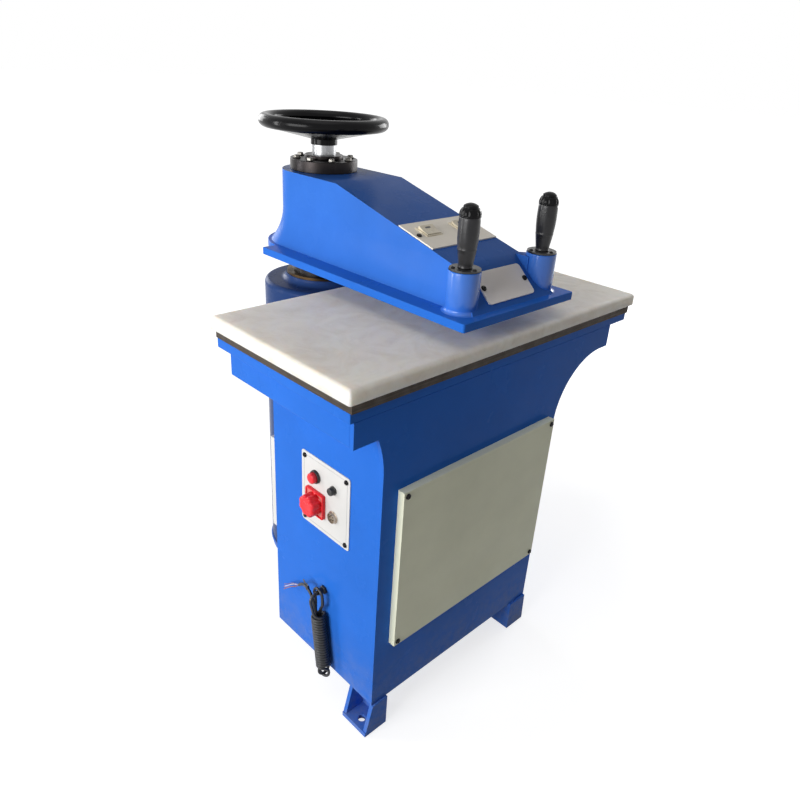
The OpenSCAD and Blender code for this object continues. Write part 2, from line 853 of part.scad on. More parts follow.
// Foot whose outer edge lies on x = 0 at its top, sloping out by out towards -X at the floor
module foot(out, inner) {
    width = foot_w + inner;
    color(blue) difference() {
        union() {
            translate([-out, 0, 0]) cube([width + out, foot_l, foot_plate]);
            for (y = [0, foot_l - foot_gusset]) {
                translate([0, y + foot_gusset, 0]) rotate([90, 0, 0]) linear_extrude(foot_gusset)
                    polygon([[-out, 0], [width, 0], [width, skirt_z], [0, skirt_z]]);
            }
            translate([width - foot_gusset, 0, 0]) cube([foot_gusset, foot_l, skirt_z]);
        }
        translate([-out + anchor_inset, foot_l / 2 - 3, -past])
            cylinder(r = anchor_r, h = foot_plate + 2 * past);
    }
}

module front_feet() {
    translate([cabinet_left, front_y - foot_ahead, 0]) foot(foot_out_left, 0);
    translate([cabinet_right, front_y - foot_ahead, 0]) mirror([1, 0, 0])
        foot(foot_out_right, foot_in_right);
}

module rear_base() {
    front = -(tower_r + base_ahead);
    color(blue) difference() {
        union() {
            cylinder(r = tower_r, h = base_t, $fn = 128);
            translate([-base_w / 2, front, 0]) cube([base_w, -front, base_t]);
        }
        for (sx = [-1, 1]) {
            translate([sx * rear_anchor_pitch / 2, front + rear_anchor_edge, -past])
                cylinder(r = anchor_r, h = base_t + 2 * past);
        }
    }
}

// Side outline of the neck box, shrunk by a wall
module neck_outline(wall, reach) {
    polygon([
        [cabinet_rear_y - reach, skirt_z + wall],
        [cabinet_rear_y - reach, head_z - wall],
        [head_rear_y + wall, head_z - wall],
        [head_rear_y + wall, table_z - wall],
        [0, table_z - wall],
        [0, skirt_z + wall]
    ]);
}

module neck_box() {
    color(blue) difference() {
        rotate([90, 0, 90]) translate([0, 0, -neck_w / 2]) linear_extrude(neck_w) neck_outline(0, 0);
        rotate([90, 0, 90]) translate([0, 0, -neck_w / 2 + neck_wall])
            linear_extrude(neck_w - 2 * neck_wall) neck_outline(neck_wall, past);
        translate([0, 0, -past]) cylinder(r = tower_r, h = table_h, $fn = 128);
        translate([-neck_w, 0, 0]) cube([2 * neck_w, past, table_h]);
    }
}

module column_tower() {
    height = tower_z - base_t;
    land_r = bush_r + running_fit;
    collar_r = bush_r + 6;
    color(blue) difference() {
        translate([0, 0, base_t]) rotate_extrude($fn = 128) {
            square([tower_r, height - shoulder_r]);
            square([tower_r - shoulder_r, height]);
            translate([tower_r - shoulder_r, height - shoulder_r]) intersection() {
                circle(r = shoulder_r);
                square(shoulder_r + 1);
            }
            square([collar_r, height + collar_h]);
            // fillet between shoulder and collar
            difference() {
                translate([collar_r - 1, height - 1]) square([collar_h + 1, collar_h + 1]);
                translate([collar_r + collar_h, height + collar_h]) circle(r = collar_h);
            }
        }
        translate([0, 0, base_t - past])
            cylinder(r = cavity_r, h = lower_bush_z - bush_land - base_t + past);
        cylinder(r = land_r, h = table_h);
        translate([0, 0, lower_bush_z + lower_bush_l + bush_land])
            cylinder(r = cavity_r, h = upper_bush_z - lower_bush_z - lower_bush_l - 2 * bush_land);
        on_front(valve_x, 0, pipe_z) cylinder(r = pipe_hole_r, h = tower_r + past);
    }
}

module wiper_ring() {
    color("black") tube(bush_r + 3, column_r + loose_fit, 6, tower_z + collar_h);
}

module column_bushes() {
    color("goldenrod") {
        tube(bush_r, column_r + running_fit, lower_bush_l, lower_bush_z);
        tube(bush_r, column_r + running_fit, upper_bush_l, upper_bush_z);
    }
}

module hydraulic_cylinder() {
    color(dark) difference() {
        union() {
            translate([0, 0, base_t]) cylinder(r = cylinder_d / 2, h = cylinder_h);
            translate([0, 0, base_t]) cylinder(r = cavity_r - 18, h = 18);
            on_front(valve_x, 0, port_z) cylinder(r = port_r, h = -port_y);
        }
        translate([0, 0, base_t + cylinder_end])
            cylinder(r = cylinder_bore_d / 2, h = cylinder_h - 2 * cylinder_end);
        translate([0, 0, cylinder_top - cylinder_end - past])
            cylinder(r = rod_r + running_fit, h = cylinder_end + 2 * past);
        on_front(valve_x, 0, port_z) cylinder(r = 4, h = -port_y + past);
    }
}

module return_spring() {
    steps = 20;
    low = cylinder_top + spring_wire / 2;
    high = column_z - spring_wire / 2;
    last = spring_turns * steps;
    coil = [for (i = [0:last]) [
        spring_d / 2 * cos(360 * i / steps),
        spring_d / 2 * sin(360 * i / steps),
        low + (high - low) * i / last
    ]];
    color(steel) swept_tube(coil, spring_wire / 2, 8);
}

module oil_tank() {
    color(dark) {
        translate([unit_x, unit_y, 0]) difference() {
            slab(tank_w, tank_d, tank_h, tank_z);
            slab(tank_w - 2 * tank_wall, tank_d - 2 * tank_wall, tank_h, tank_z + tank_wall);
        }
        difference() {
            translate([unit_x, unit_y, 0]) slab(tank_w, tank_d, lid_t, lid_z);
            translate([motor_x, unit_y, lid_z - past]) cylinder(r = shaft_d / 2 + 6, h = lid_t + 2 * past);
        }
    }
}

module bell_housing() {
    color(steel) translate([motor_x, unit_y, 0]) {
        tube(motor_d / 2 - 14, motor_d / 2 - 22, bell_h, bell_z);
        tube(motor_d / 2, motor_d / 2 - 22, 8, bell_z + bell_h - 8);
        tube(motor_d / 2 - 4, motor_d / 2 - 22, 8, bell_z);
    }
}

module motor() {
    fins = 24;
    color(navy) translate([motor_x, unit_y, motor_z]) difference() {
        union() {
            cylinder(r = motor_d / 2, h = 10);
            cylinder(r = motor_d / 2 - 8, h = motor_h);
            translate([0, 0, motor_h - 46]) cylinder(r = motor_d / 2 - 2, h = 46);
            for (i = [0:fins - 1]) {
                rotate(i * 360 / fins) translate([motor_d / 2 - 12, -1.5, 5])
                    cube([12, 3, motor_h - 46]);
            }
        }
        translate([0, 0, -past]) cylinder(r = shaft_d / 2 + running_fit, h = motor_h - 50 + past);
        translate([0, 0, motor_h - 50]) cylinder(r = motor_d / 2 - 14, h = 46);
    }
}

module motor_shaft() {
    fan_z = motor_z + motor_h - 40;
    low = lid_z - 30;
    color(steel) translate([motor_x, unit_y, 0]) {
        translate([0, 0, low]) cylinder(r = shaft_d / 2, h = fan_z + 20 - low);
        translate([0, 0, bell_z + 8]) cylinder(r = shaft_d / 2 + 12, h = bell_h - 16);
        for (i = [0:5]) {
            rotate(i * 60) translate([0, -2, fan_z]) cube([motor_d / 2 - 18, 4, 24]);
        }
    }
}

module pump() {
    top = lid_z;
    color(steel) translate([motor_x, unit_y, top - pump_h]) difference() {
        union() {
            cylinder(r = pump_d / 2, h = pump_h);
            translate([0, 0, -30]) cylinder(r = 14, h = 31);
        }
        translate([0, 0, pump_h - 34]) cylinder(r = shaft_d / 2 + running_fit, h = 34 + past);
    }
}

module valve_block() {
    color(steel) translate([valve_x, valve_y, bell_z]) {
        slab(valve_w, valve_w + 30, valve_h, 0);
        translate([0, -10, valve_h]) cylinder(r = 16, h = 50);
        translate([0, 22, valve_h]) cylinder(r = 8, h = 18, $fn = 6);
    }
}

module pressure_pipe() {
    r = pipe_d / 2;
    start = valve_y + valve_w / 2 + 15;
    color(steel) {
        on_rear(valve_x, start, pipe_z) cylinder(r = r, h = pipe_drop_y - start);
        on_rear(valve_x, start, pipe_z) cylinder(r = r + 5, h = 16, $fn = 6);
        translate([valve_x, pipe_drop_y, pipe_z]) sphere(r = r);
        translate([valve_x, pipe_drop_y, port_z]) cylinder(r = r, h = pipe_z - port_z);
        translate([valve_x, pipe_drop_y, port_z]) sphere(r = r);
        on_rear(valve_x, pipe_drop_y, port_z) cylinder(r = r, h = port_y - pipe_drop_y);
    }
}

// Back plate on its two feet, with contactors, a terminal strip and a transformer
module control_gear() {
    face = gear_y + gear_t / 2;
    top = tank_z + gear_h;
    bracket_w = gear_w / 8;
    block_w = gear_w / 3.8;
    strip_w = gear_w * 0.8;
    core_w = gear_w / 2;
    color("gainsboro") translate([gear_x, gear_y, 0]) {
        slab(gear_w, gear_t, gear_h, tank_z);
        for (sx = [-1, 1]) {
            translate([sx * (gear_w - bracket_w) / 2, -bracket_w, 0])
                slab(bracket_w, 2 * bracket_w + gear_t, gear_t, tank_z);
        }
    }
    color("whitesmoke") {
        for (i = [-1:1]) {
            translate([gear_x + i * block_w * 1.15, face + block_w / 2, 0])
                slab(block_w, block_w, gear_h * 0.15, top - gear_h * 0.2);
        }
        translate([gear_x, face + strip_w / 12, 0])
            slab(strip_w, strip_w / 6, gear_h * 0.07, top - gear_h * 0.34);
        translate([gear_x, face + core_w / 3, 0])
            slab(core_w, core_w / 1.5, gear_h * 0.14, top - gear_h * 0.54);
    }
}

module control_plate() {
    color("white") difference() {
        on_left(cabinet_left, control_y, control_mid_z) linear_extrude(control_t)
            rounded_rect(control_h, control_w, control_corner_r);
        for (c = corners(control_w - 2 * control_screw_inset, control_h - 2 * control_screw_inset)) {
            on_left(cabinet_left + past, control_y + c[0], control_mid_z + c[1])
                cylinder(r = screw_r + loose_fit, h = control_t + 2 * past);
        }
        on_left(cabinet_left + past, button_y, button_z)
            cylinder(r = button_d / 2 - 1 + loose_fit, h = control_t + 2 * past);
        on_left(cabinet_left + past, fuse_y, fuse_z)
            cylinder(r = fuse_d / 2 - 3 + loose_fit, h = control_t + 2 * past);
        on_left(cabinet_left + past, switch_y, switch_z)
            cylinder(r = switch_body_r + loose_fit, h = control_t + 2 * past);
        on_left(cabinet_left + past, socket_y, socket_z)
            cylinder(r = socket_d / 2 - 3 + loose_fit, h = control_t + 2 * past);
    }
}

module button_ring() {
    barrel_l = button_d * 5 / 3;
    color("black") difference() {
        union() {
            cylinder(r = bezel_d / 2, h = bezel_t);
            translate([0, 0, -barrel_l]) cylinder(r = button_d / 2 - 1, h = barrel_l + 1);
        }
        cylinder(r = button_d / 2 + loose_fit, h = bezel_t + past);
        translate([0, 0, -barrel_l + 4]) cylinder(r = button_d / 2 - 4 + loose_fit, h = barrel_l);
    }
}

module fuse_holder() {
    body_l = 3 * fuse_h;
    color("black") {
        cylinder(r = fuse_d / 2, h = fuse_h * 2 / 3);
        cylinder(r = fuse_d / 2 - 2, h = fuse_h);
        translate([0, 0, -body_l]) cylinder(r = fuse_d / 2 - 3, h = body_l + 1);
    }
}

module round_socket() {
    body_l = socket_d * 0.85;
    color(steel) {
        difference() {
            cylinder(r = socket_d / 2, h = socket_h);
            translate([0, 0, 2]) cylinder(r = socket_d / 2 - 3, h = socket_h);
        }
        for (i = [0:4]) {
            rotate(i * 72) translate([socket_d / 4 - 1, 0, 1]) cylinder(r = 1.2, h = socket_h - 2);
        }
        translate([0, 0, -body_l]) cylinder(r = socket_d / 2 - 3, h = body_l + 1);
    }
}

module panel_fittings() {
    on_left(control_face, button_y, button_z) button_ring();
    on_left(control_face, fuse_y, fuse_z) fuse_holder();
    on_left(control_face, socket_y, socket_z) round_socket();
}

module switch_base() {
    body = 52;
    color("firebrick") on_left(control_face, switch_y, switch_z) difference() {
        union() {
            slab(switch_base_w, switch_base_w, switch_base_t, 0);
            translate([0, 0, -body]) cylinder(r = switch_body_r, h = body + 1);
        }
        slab(switch_base_w - 2 * switch_rim, switch_base_w - 2 * switch_rim, past + 3, switch_base_t - 3);
        translate([0, 0, -body + 6]) cylinder(r = knob_post_r + running_fit, h = body + switch_base_t);
    }
}

// Gland with a nut on the wall and a tapered strain relief
module cord_gland() {
    nut_l = 6;
    behind = cabinet_wall + 8;
    color("black") on_left(cabinet_left, gland_y, gland_z) {
        cylinder(r = gland_d / 2, h = nut_l, $fn = 6);
        cylinder(r1 = gland_d / 2 - 2, r2 = cord_d / 2 + 1, h = gland_l);
        translate([0, 0, -behind]) cylinder(r = gland_d / 2 - 3, h = behind + 1);
    }
}

module mains_cord() {
    color("black") swept_tube(cord_route, cord_d / 2, cord_sides);
}

// Outer shape of the wound hank: round ends, leaning to the front at the bottom
module cord_hank() {
    color("black") translate([hank_x + hank_d / 2, hank_y, hank_z]) rotate([-hank_lean, 0, 0])
        rotate([0, -90, 0]) linear_extrude(hank_d) {
            translate([0, -hank_d / 2]) square([hank_l, hank_d]);
            circle(d = hank_d);
            translate([hank_l, 0]) circle(d = hank_d);
        }
}

module cord_tail() {
    color("black") swept_tube(tail_route, cord_d / 2, cord_sides);
}

module column() {
    pocket_r = nut_r + running_fit;
    color(steel) difference() {
        translate([0, 0, column_z]) cylinder(r = column_r, h = column_top - column_z, $fn = 128);
        translate([0, 0, column_z + 30]) cylinder(r = column_bore_d / 2, h = column_top - column_z);
        translate([0, 0, column_top - nut_h]) cylinder(r = pocket_r, h = nut_h + past);
    }
}

module piston_rod() {
    color("lightsteelblue") {
        translate([0, 0, piston_z]) cylinder(r = rod_r, h = column_z - piston_z);
        translate([0, 0, piston_z]) cylinder(r = cylinder_bore_d / 2 - running_fit, h = piston_h);
    }
}

module lift_nut() {
    color("goldenrod") tube(nut_r, lead_r + running_fit, nut_h, column_top - nut_h);
}

module guide_sleeve() {
    color("goldenrod") tube(sleeve_r, column_r + running_fit, sleeve_h, arm_z + 4);
}

module adjusting_screw() {
    bottom = roof_z - lead_l;
    shoulder_z = arm_top + thrust_h + face_gap;
    shoulder_h = thrust_seat_z - face_gap - shoulder_z;
    color(steel) {
        translate([0, 0, bottom]) cylinder(r = lead_r, h = hub_top + 14 - bottom);
        translate([0, 0, shoulder_z]) cylinder(r = thrust_d / 2 - 5, h = shoulder_h);
    }
}

module bright_collar() {
    color("white") tube(collar_d / 2, lead_r + running_fit, bright_h, bright_z);
}

module handwheel() {
    rim_r = rim_d / 2;
    mid_r = wheel_d / 2 - rim_r;
    bore_r = lead_r + running_fit;
    foot_z = hub_z + web_rise;
    color("black") rotate_extrude($fn = 128) {
        translate([bore_r, hub_z]) square([hub_d / 2 - bore_r, hub_h]);
        polygon([
            [hub_d / 2 - 1, foot_z], [mid_r, rim_z - rim_r + 1],
            [mid_r, rim_z - rim_r + web_t], [hub_d / 2 - 1, foot_z + web_t]
        ]);
        translate([mid_r, rim_z]) circle(r = rim_r);
    }
}

module wheel_nut() {
    color(dark) translate([0, 0, hub_top]) difference() {
        cylinder(r = lead_r + 10, h = 12, $fn = 6);
        translate([0, 0, -past]) cylinder(r = lead_r + running_fit, h = 12 + 2 * past);
    }
}

module arm_plate() {
    color(navy) difference() {
        union() {
            translate([0, 0, arm_z]) linear_extrude(arm_plate_t) {
                translate([-arm_w / 2, arm_front_y + arm_corner_r])
                    square([arm_w, arm_tail - arm_front_y - arm_corner_r]);
                translate([-arm_w / 2 + arm_corner_r, arm_front_y])
                    square([arm_w - 2 * arm_corner_r, arm_corner_r + 1]);
                for (sx = [-1, 1]) {
                    translate([sx * (arm_w / 2 - arm_corner_r), arm_front_y + arm_corner_r])
                        circle(r = arm_corner_r);
                }
            }
            translate([0, 0, arm_z]) cylinder(r = arm_tail_r, h = arm_plate_t, $fn = 128);
        }
        translate([0, 0, arm_z - past]) cylinder(r = sleeve_r + running_fit, h = arm_plate_t + 2 * past);
    }
}

// Right half of the arm's cross section, standing on the striking plate
module arm_half_section() {
    square([body_half, body_h]);
    difference() {
        translate([body_half - 1, 0]) square([flare_w + 1, flare_h]);
        translate([body_half + flare_r, flare_h]) circle(r = flare_r, $fn = 128);
    }
}

// Shift of an outline's corner between a steep and a flat face, both moved in by a wall
function inner_corner(wall, steep, flat) =
    wall / sin(steep - flat) * [cos(flat) - cos(steep), sin(flat) - sin(steep)];

// Side outline of the arm, in Y and Z, shrunk by a wall at its faces
module arm_side(wall, rear) {
    polygon([
        [nose_foot_y + wall / sin(nose_a), body_z - eps],
        [nose_y, nose_z] + inner_corner(wall, nose_a, slope_a),
        [-knee, arm_top] + inner_corner(wall, slope_a, 0),
        [rear, arm_top - wall],
        [rear, body_z - eps]
    ]);
}

module arm_body() {
    deep = frame_depth + 20;
    color(navy) difference() {
        union() {
            intersection() {
                union() {
                    translate([0, 0, body_z]) rotate_extrude($fn = 128) arm_half_section();
                    translate([0, 0, body_z]) rotate([90, 0, 0]) linear_extrude(-nose_foot_y) {
                        arm_half_section();
                        mirror([1, 0]) arm_half_section();
                    }
                }
                rotate([90, 0, 90]) translate([0, 0, -arm_w / 2]) linear_extrude(arm_w)
                    arm_side(0, arm_tail_r + past);
            }
            for (sx = [-1, 1]) {
                translate([sx * boss_x, boss_y, body_z]) cylinder(r = boss_d / 2, h = boss_h);
                // web that joins the boss to the body's corner
                translate([0, 0, body_z]) linear_extrude(nose_h) polygon([
                    [sx * (body_half - boss_web), nose_y + boss_web / 2],
                    [sx * body_half, nose_y + boss_web / 2],
                    [sx * (boss_x - 3), boss_y + boss_d / 2 - 1], [sx * boss_x, boss_y],
                    [sx * (body_half - boss_web), boss_y + boss_web / 2]
                ]);
            }
        }
        // cavity ahead of the column boss
        rotate([90, 0, 90]) translate([0, 0, -body_half + arm_wall])
            linear_extrude(body_w - 2 * arm_wall) arm_side(arm_wall, -(sleeve_r + arm_wall + 2));
        translate([0, 0, body_z - past]) cylinder(r = sleeve_r + running_fit, h = body_h - roof_t + past);
        cylinder(r = lead_r + 4, h = arm_top + past);
        for (sx = [-1, 1]) {
            translate([sx * boss_x, boss_y, disc_z - spigot_down - past])
                cylinder(r = spigot_r + running_fit, h = spigot_down + 2 * past);
            on_slope(-rocker_y) translate([sx * rocker_pitch / 2, 0, 0])
                slab(frame_slot_l, frame_slot_w, deep, -deep + past);
            on_slope(-switch_plate_y) translate([sx * switch_screw_pitch / 2, 0, -screw_grip])
                cylinder(r = screw_r + loose_fit, h = screw_grip + past);
            on_nose(blank_place) translate([sx * blank_pitch / 2, 0, -screw_grip])
                cylinder(r = screw_r + loose_fit, h = screw_grip + past);
        }
    }
}

module handle_discs() {
    color("black") for (sx = [-1, 1]) {
        translate([sx * boss_x, boss_y, disc_z]) {
            cylinder(r = boss_d / 2 - 1, h = disc_t);
            translate([0, 0, -spigot_down]) cylinder(r = spigot_r, h = spigot_down + disc_t + spigot_up);
            for (i = [0:2]) {
                rotate(i * 120 + 30) translate([boss_d / 2 - 7.5, 0, disc_t - 1]) cylinder(r = 4, h = 3);
            }
        }
    }
}

module grips() {
    waist = grip_l * 0.45;
    low_r = grip_low_d / 2;
    mid_r = grip_mid_d / 2;
    top_r = grip_top_d / 2;
    color("darkslategray") for (sx = [-1, 1]) {
        translate([sx * boss_x, boss_y, grip_z]) difference() {
            union() {
                cylinder(r1 = low_r, r2 = mid_r, h = waist);
                translate([0, 0, waist]) cylinder(r1 = mid_r, r2 = top_r, h = grip_l - waist);
            }
            translate([0, 0, -past]) cylinder(r = spigot_r + running_fit, h = spigot_up + 2 * past);
            translate([0, 0, grip_l - switch_pocket_l])
                cylinder(r = switch_pocket_r, h = switch_pocket_l + past);
        }
    }
}

module grip_caps() {
    cap_r = grip_top_d / 2;
    cap_lip = 2;
    color("black") for (sx = [-1, 1]) {
        translate([sx * boss_x, boss_y, grip_top]) difference() {
            union() {
                cylinder(r = cap_r, h = cap_h / 2);
                translate([0, 0, cap_h / 2]) cylinder(r1 = cap_r, r2 = thumb_r + cap_lip, h = cap_h / 2);
            }
            translate([0, 0, thumb_low - thumb_travel - 0.5 - grip_top])
                cylinder(r = thumb_r + loose_fit, h = cap_h + past);
            translate([0, 0, -past]) cylinder(r = switch_pocket_r, h = cap_h);
        }
    }
}

module thumb_switches() {
    color("gray") for (sx = [-1, 1]) {
        translate([sx * boss_x, boss_y, grip_top - switch_pocket_l])
            cylinder(r = switch_pocket_r - loose_fit, h = switch_pocket_l * 0.6);
    }
}

// Domed thumb button with its stem down to the switch
module thumb_button() {
    dome_h = cap_top + thumb_h - thumb_low;
    stem_z = grip_top - switch_pocket_l * 0.4 + thumb_travel + face_gap;
    color("black") {
        translate([0, 0, thumb_low]) rotate_extrude() {
            square([thumb_r, dome_h - 6]);
            intersection() {
                translate([0, dome_h - thumb_r * 1.6]) circle(r = thumb_r * 1.6);
                square([thumb_r, dome_h]);
            }
        }
        translate([0, 0, stem_z]) cylinder(r = thumb_r / 3, h = thumb_low + 1 - stem_z);
    }
}

module thumb_button_left() {
    translate([-boss_x, boss_y, 0]) thumb_button();
}

module thumb_button_right() {
    translate([boss_x, boss_y, 0]) thumb_button();
}

module switch_plate() {
    color("white") on_slope(-switch_plate_y) difference() {
        slab(switch_plate_w, switch_plate_l, arm_sheet, seat_gap);
        for (sx = [-1, 1]) {
            translate([sx * rocker_pitch / 2, (switch_plate_y - rocker_y) / cos(slope_a), 0])
                slab(frame_slot_l, frame_slot_w, plate_top + 2 * past, -past);
            translate([sx * switch_screw_pitch / 2, 0, -past])
                cylinder(r = screw_r + loose_fit, h = arm_sheet + 2 * past);
        }
    }
}

module rocker_frames() {
    rim_h = frame_proud;
    color("beige") for (sx = [-1, 1]) {
        on_slope(-rocker_y) translate([sx * rocker_pitch / 2, 0, 0]) difference() {
            union() {
                slab(frame_l, frame_w, rim_h, plate_top);
                slab(frame_body_l, frame_body_w, frame_depth + plate_top + rim_h, -frame_depth);
            }
            slab(frame_l - 2 * frame_rim, frame_w - 2 * frame_rim, frame_depth + plate_top + rim_h,
                -frame_depth + 3);
            translate([-frame_l / 2 + frame_rim - 1.2, 0, plate_top]) rotate([0, 90, 0])
                cylinder(r = rocker_pin_r + running_fit, h = frame_l - 2 * frame_rim + 2.4);
        }
    }
}

// Rocker about the pin at its origin, tilted as it rests
module rocker() {
    color("beige") rotate([rocker_tilt, 0, 0]) {
        rotate([90, 0, 90]) translate([0, 0, -rocker_half_l]) linear_extrude(2 * rocker_half_l)
            polygon([
                [-rocker_half_w, -3], [rocker_half_w, -3], [rocker_half_w, 6],
                [0, 4.4], [-rocker_half_w, 6]
            ]);
        rotate([0, 90, 0]) translate([0, 0, -rocker_half_l - 1])
            cylinder(r = rocker_pin_r, h = 2 * rocker_half_l + 2);
    }
}

module rocker_left() {
    on_slope(-rocker_y) translate([-rocker_pitch / 2, 0, plate_top]) rocker();
}

module rocker_right() {
    on_slope(-rocker_y) translate([rocker_pitch / 2, 0, plate_top]) rocker();
}

module blank_plate() {
    color("lightgray") on_nose(blank_place) difference() {
        translate([0, 0, seat_gap]) linear_extrude(arm_sheet) rounded_rect(blank_w, blank_l, blank_corner_r);
        for (sx = [-1, 1]) {
            translate([sx * blank_pitch / 2, 0, -past])
                cylinder(r = screw_r + loose_fit, h = arm_sheet + 2 * past);
        }
    }
}

module arm_screws() {
    color("black") for (sx = [-1, 1]) {
        on_slope(-switch_plate_y) translate([sx * switch_screw_pitch / 2, 0, plate_top])
            panel_screw(arm_sheet + screw_grip);
        on_nose(blank_place) translate([sx * blank_pitch / 2, 0, plate_top])
            panel_screw(arm_sheet + screw_grip);
    }
}

module column_flange() {
    color(dark) tube(flange_d / 2, thrust_d / 2 + running_fit, flange_h, arm_top);
}

module flange_bolts() {
    color(steel) for (i = [0:flange_bolts_n - 1]) {
        rotate((i + 0.5) * 360 / flange_bolts_n) translate([flange_bolt_pcd / 2, 0, flange_top]) {
            cylinder(r = 8, h = 7, $fn = 6);
        }
    }
}

module bearing_cap() {
    color("saddlebrown") tube(cap_ring_d / 2, thrust_bore_r, cap_ring_h, flange_top);
}

module thrust_bearings() {
    color(steel) {
        tube(thrust_d / 2, thrust_bore_r, thrust_h, arm_top);
        tube(thrust_d / 2, thrust_bore_r, thrust_h, thrust_seat_z);
    }
}

module red_button() {
    low = button_travel + 0.6;
    color("red") on_left(control_face, button_y, button_z) {
        translate([0, 0, low]) cylinder(r = button_d / 2, h = button_h - low - 2);
        translate([0, 0, button_h - 2]) cylinder(r1 = button_d / 2, r2 = button_d / 2 - 2, h = 2);
        translate([0, 0, low - 34]) cylinder(r = button_d / 2 - 4, h = 35);
    }
}

module main_knob() {
    knob_r = knob_d / 2;
    flutes = 12;
    color("red") on_left(control_face, switch_y, switch_z) {
        difference() {
            translate([0, 0, switch_base_t - 3 + face_gap]) cylinder(r = knob_r, h = knob_h);
            for (i = [0:flutes - 1]) {
                rotate(i * 360 / flutes) translate([knob_r + 4, 0, switch_base_t + 2])
                    cylinder(r = 6, h = knob_h);
            }
        }
        translate([0, 0, -40]) cylinder(r = knob_post_r, h = 40 + switch_base_t);
    }
}

front_plate();
cabinet_shell();
head_box();
table_plate();
board_underlay();
cutting_board();
front_cover();
rear_cover();
panel_screws();
front_feet();
rear_base();
neck_box();
column_tower();
wiper_ring();
column_bushes();
hydraulic_cylinder();
return_spring();
oil_tank();
bell_housing();
motor();
motor_shaft();
pump();
valve_block();
pressure_pipe();
control_gear();
control_plate();
panel_fittings();
switch_base();
cord_gland();
mains_cord();
cord_hank();
cord_tail();
column();
piston_rod();
lift_nut();
guide_sleeve();
adjusting_screw();
bright_collar();
handwheel();
wheel_nut();
arm_plate();
arm_body();
handle_discs();
grips();
grip_caps();
thumb_switches();
switch_plate();
rocker_frames();
blank_plate();
arm_screws();
column_flange();
flange_bolts();
bearing_cap();
thrust_bearings();
thumb_button_left();
thumb_button_right();
rocker_left();
rocker_right();
red_button();
main_knob();
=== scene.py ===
"""Looks of a swing arm cutting press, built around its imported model. Metres, +Z up, the operator at -Y."""

import math
import random

import bmesh
import bpy
import numpy as np
from mathutils import Matrix, Vector


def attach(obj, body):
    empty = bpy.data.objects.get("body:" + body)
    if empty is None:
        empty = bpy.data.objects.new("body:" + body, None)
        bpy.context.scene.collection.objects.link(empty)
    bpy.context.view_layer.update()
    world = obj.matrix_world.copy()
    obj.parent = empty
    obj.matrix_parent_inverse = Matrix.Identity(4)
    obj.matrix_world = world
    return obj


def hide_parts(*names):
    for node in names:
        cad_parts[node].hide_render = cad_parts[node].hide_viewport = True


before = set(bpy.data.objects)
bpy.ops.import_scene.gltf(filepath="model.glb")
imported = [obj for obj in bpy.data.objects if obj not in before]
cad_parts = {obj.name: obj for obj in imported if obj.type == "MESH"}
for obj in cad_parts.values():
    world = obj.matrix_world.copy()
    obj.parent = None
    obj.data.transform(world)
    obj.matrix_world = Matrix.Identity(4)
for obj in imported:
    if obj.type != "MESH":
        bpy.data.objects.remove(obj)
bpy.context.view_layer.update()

MM = 0.001
draw = random.Random(7)


def mm(*v):
    return Vector(v) * MM


# ------------ camera

camera_data = bpy.data.cameras.new("camera")
camera_data.lens = 31.087
camera_data.sensor_width = 36
camera_data.clip_start = 0.02
camera_data.clip_end = 60
camera = bpy.data.objects.new("camera", camera_data)
bpy.context.scene.collection.objects.link(camera)
camera.location = (-1.0962, -1.4006, 1.3737)
camera.rotation_euler = (
    Matrix.Rotation(math.radians(-45.21), 3, "Z")
    @ Matrix.Rotation(math.radians(90 - 26.56), 3, "X")
    @ Matrix.Rotation(math.radians(3.57), 3, "Z")
).to_euler()
bpy.context.scene.camera = camera


# ------------ node graphs

def rgb(code):
    """Linear colour of a hex colour."""
    out = []
    for i in (0, 2, 4):
        c = int(code[i : i + 2], 16) / 255
        out.append(c / 12.92 if c <= 0.04045 else ((c + 0.055) / 1.055) ** 2.4)
    return (*out, 1.0)


def tint(colour, k, lift=0.0):
    """The colour times k, plus a little white."""
    return tuple(min(1.0, c * k + lift) for c in colour[:3]) + (1.0,)


class Nodes:
    """Adds nodes to a tree. Values are numbers, colours or sockets."""

    def __init__(self, tree):
        self.tree = tree

    def put(self, socket, value):
        if isinstance(value, bpy.types.NodeSocket):
            self.tree.links.new(value, socket)
        else:
            socket.default_value = value

    def node(self, kind, values=None, **settings):
        n = self.tree.nodes.new(kind)
        for k, v in settings.items():
            setattr(n, k, v)
        for k, v in (values or {}).items():
            self.put(n.inputs[k], v)
        return n

    def maths(self, way, a, b=0.0, clamp=False):
        n = self.node("ShaderNodeMath", operation=way, use_clamp=clamp)
        self.put(n.inputs[0], a)
        self.put(n.inputs[1], b)
        return n.outputs[0]

    def sees_background(self):
        """1 for the rays of the camera, of reflections and through glass, 0 for those that light the object."""
        ray = self.node("ShaderNodeLightPath").outputs
        direct = self.maths("MAXIMUM", ray["Is Camera Ray"], ray["Is Glossy Ray"])
        return self.maths("MAXIMUM", direct, ray["Is Transmission Ray"])


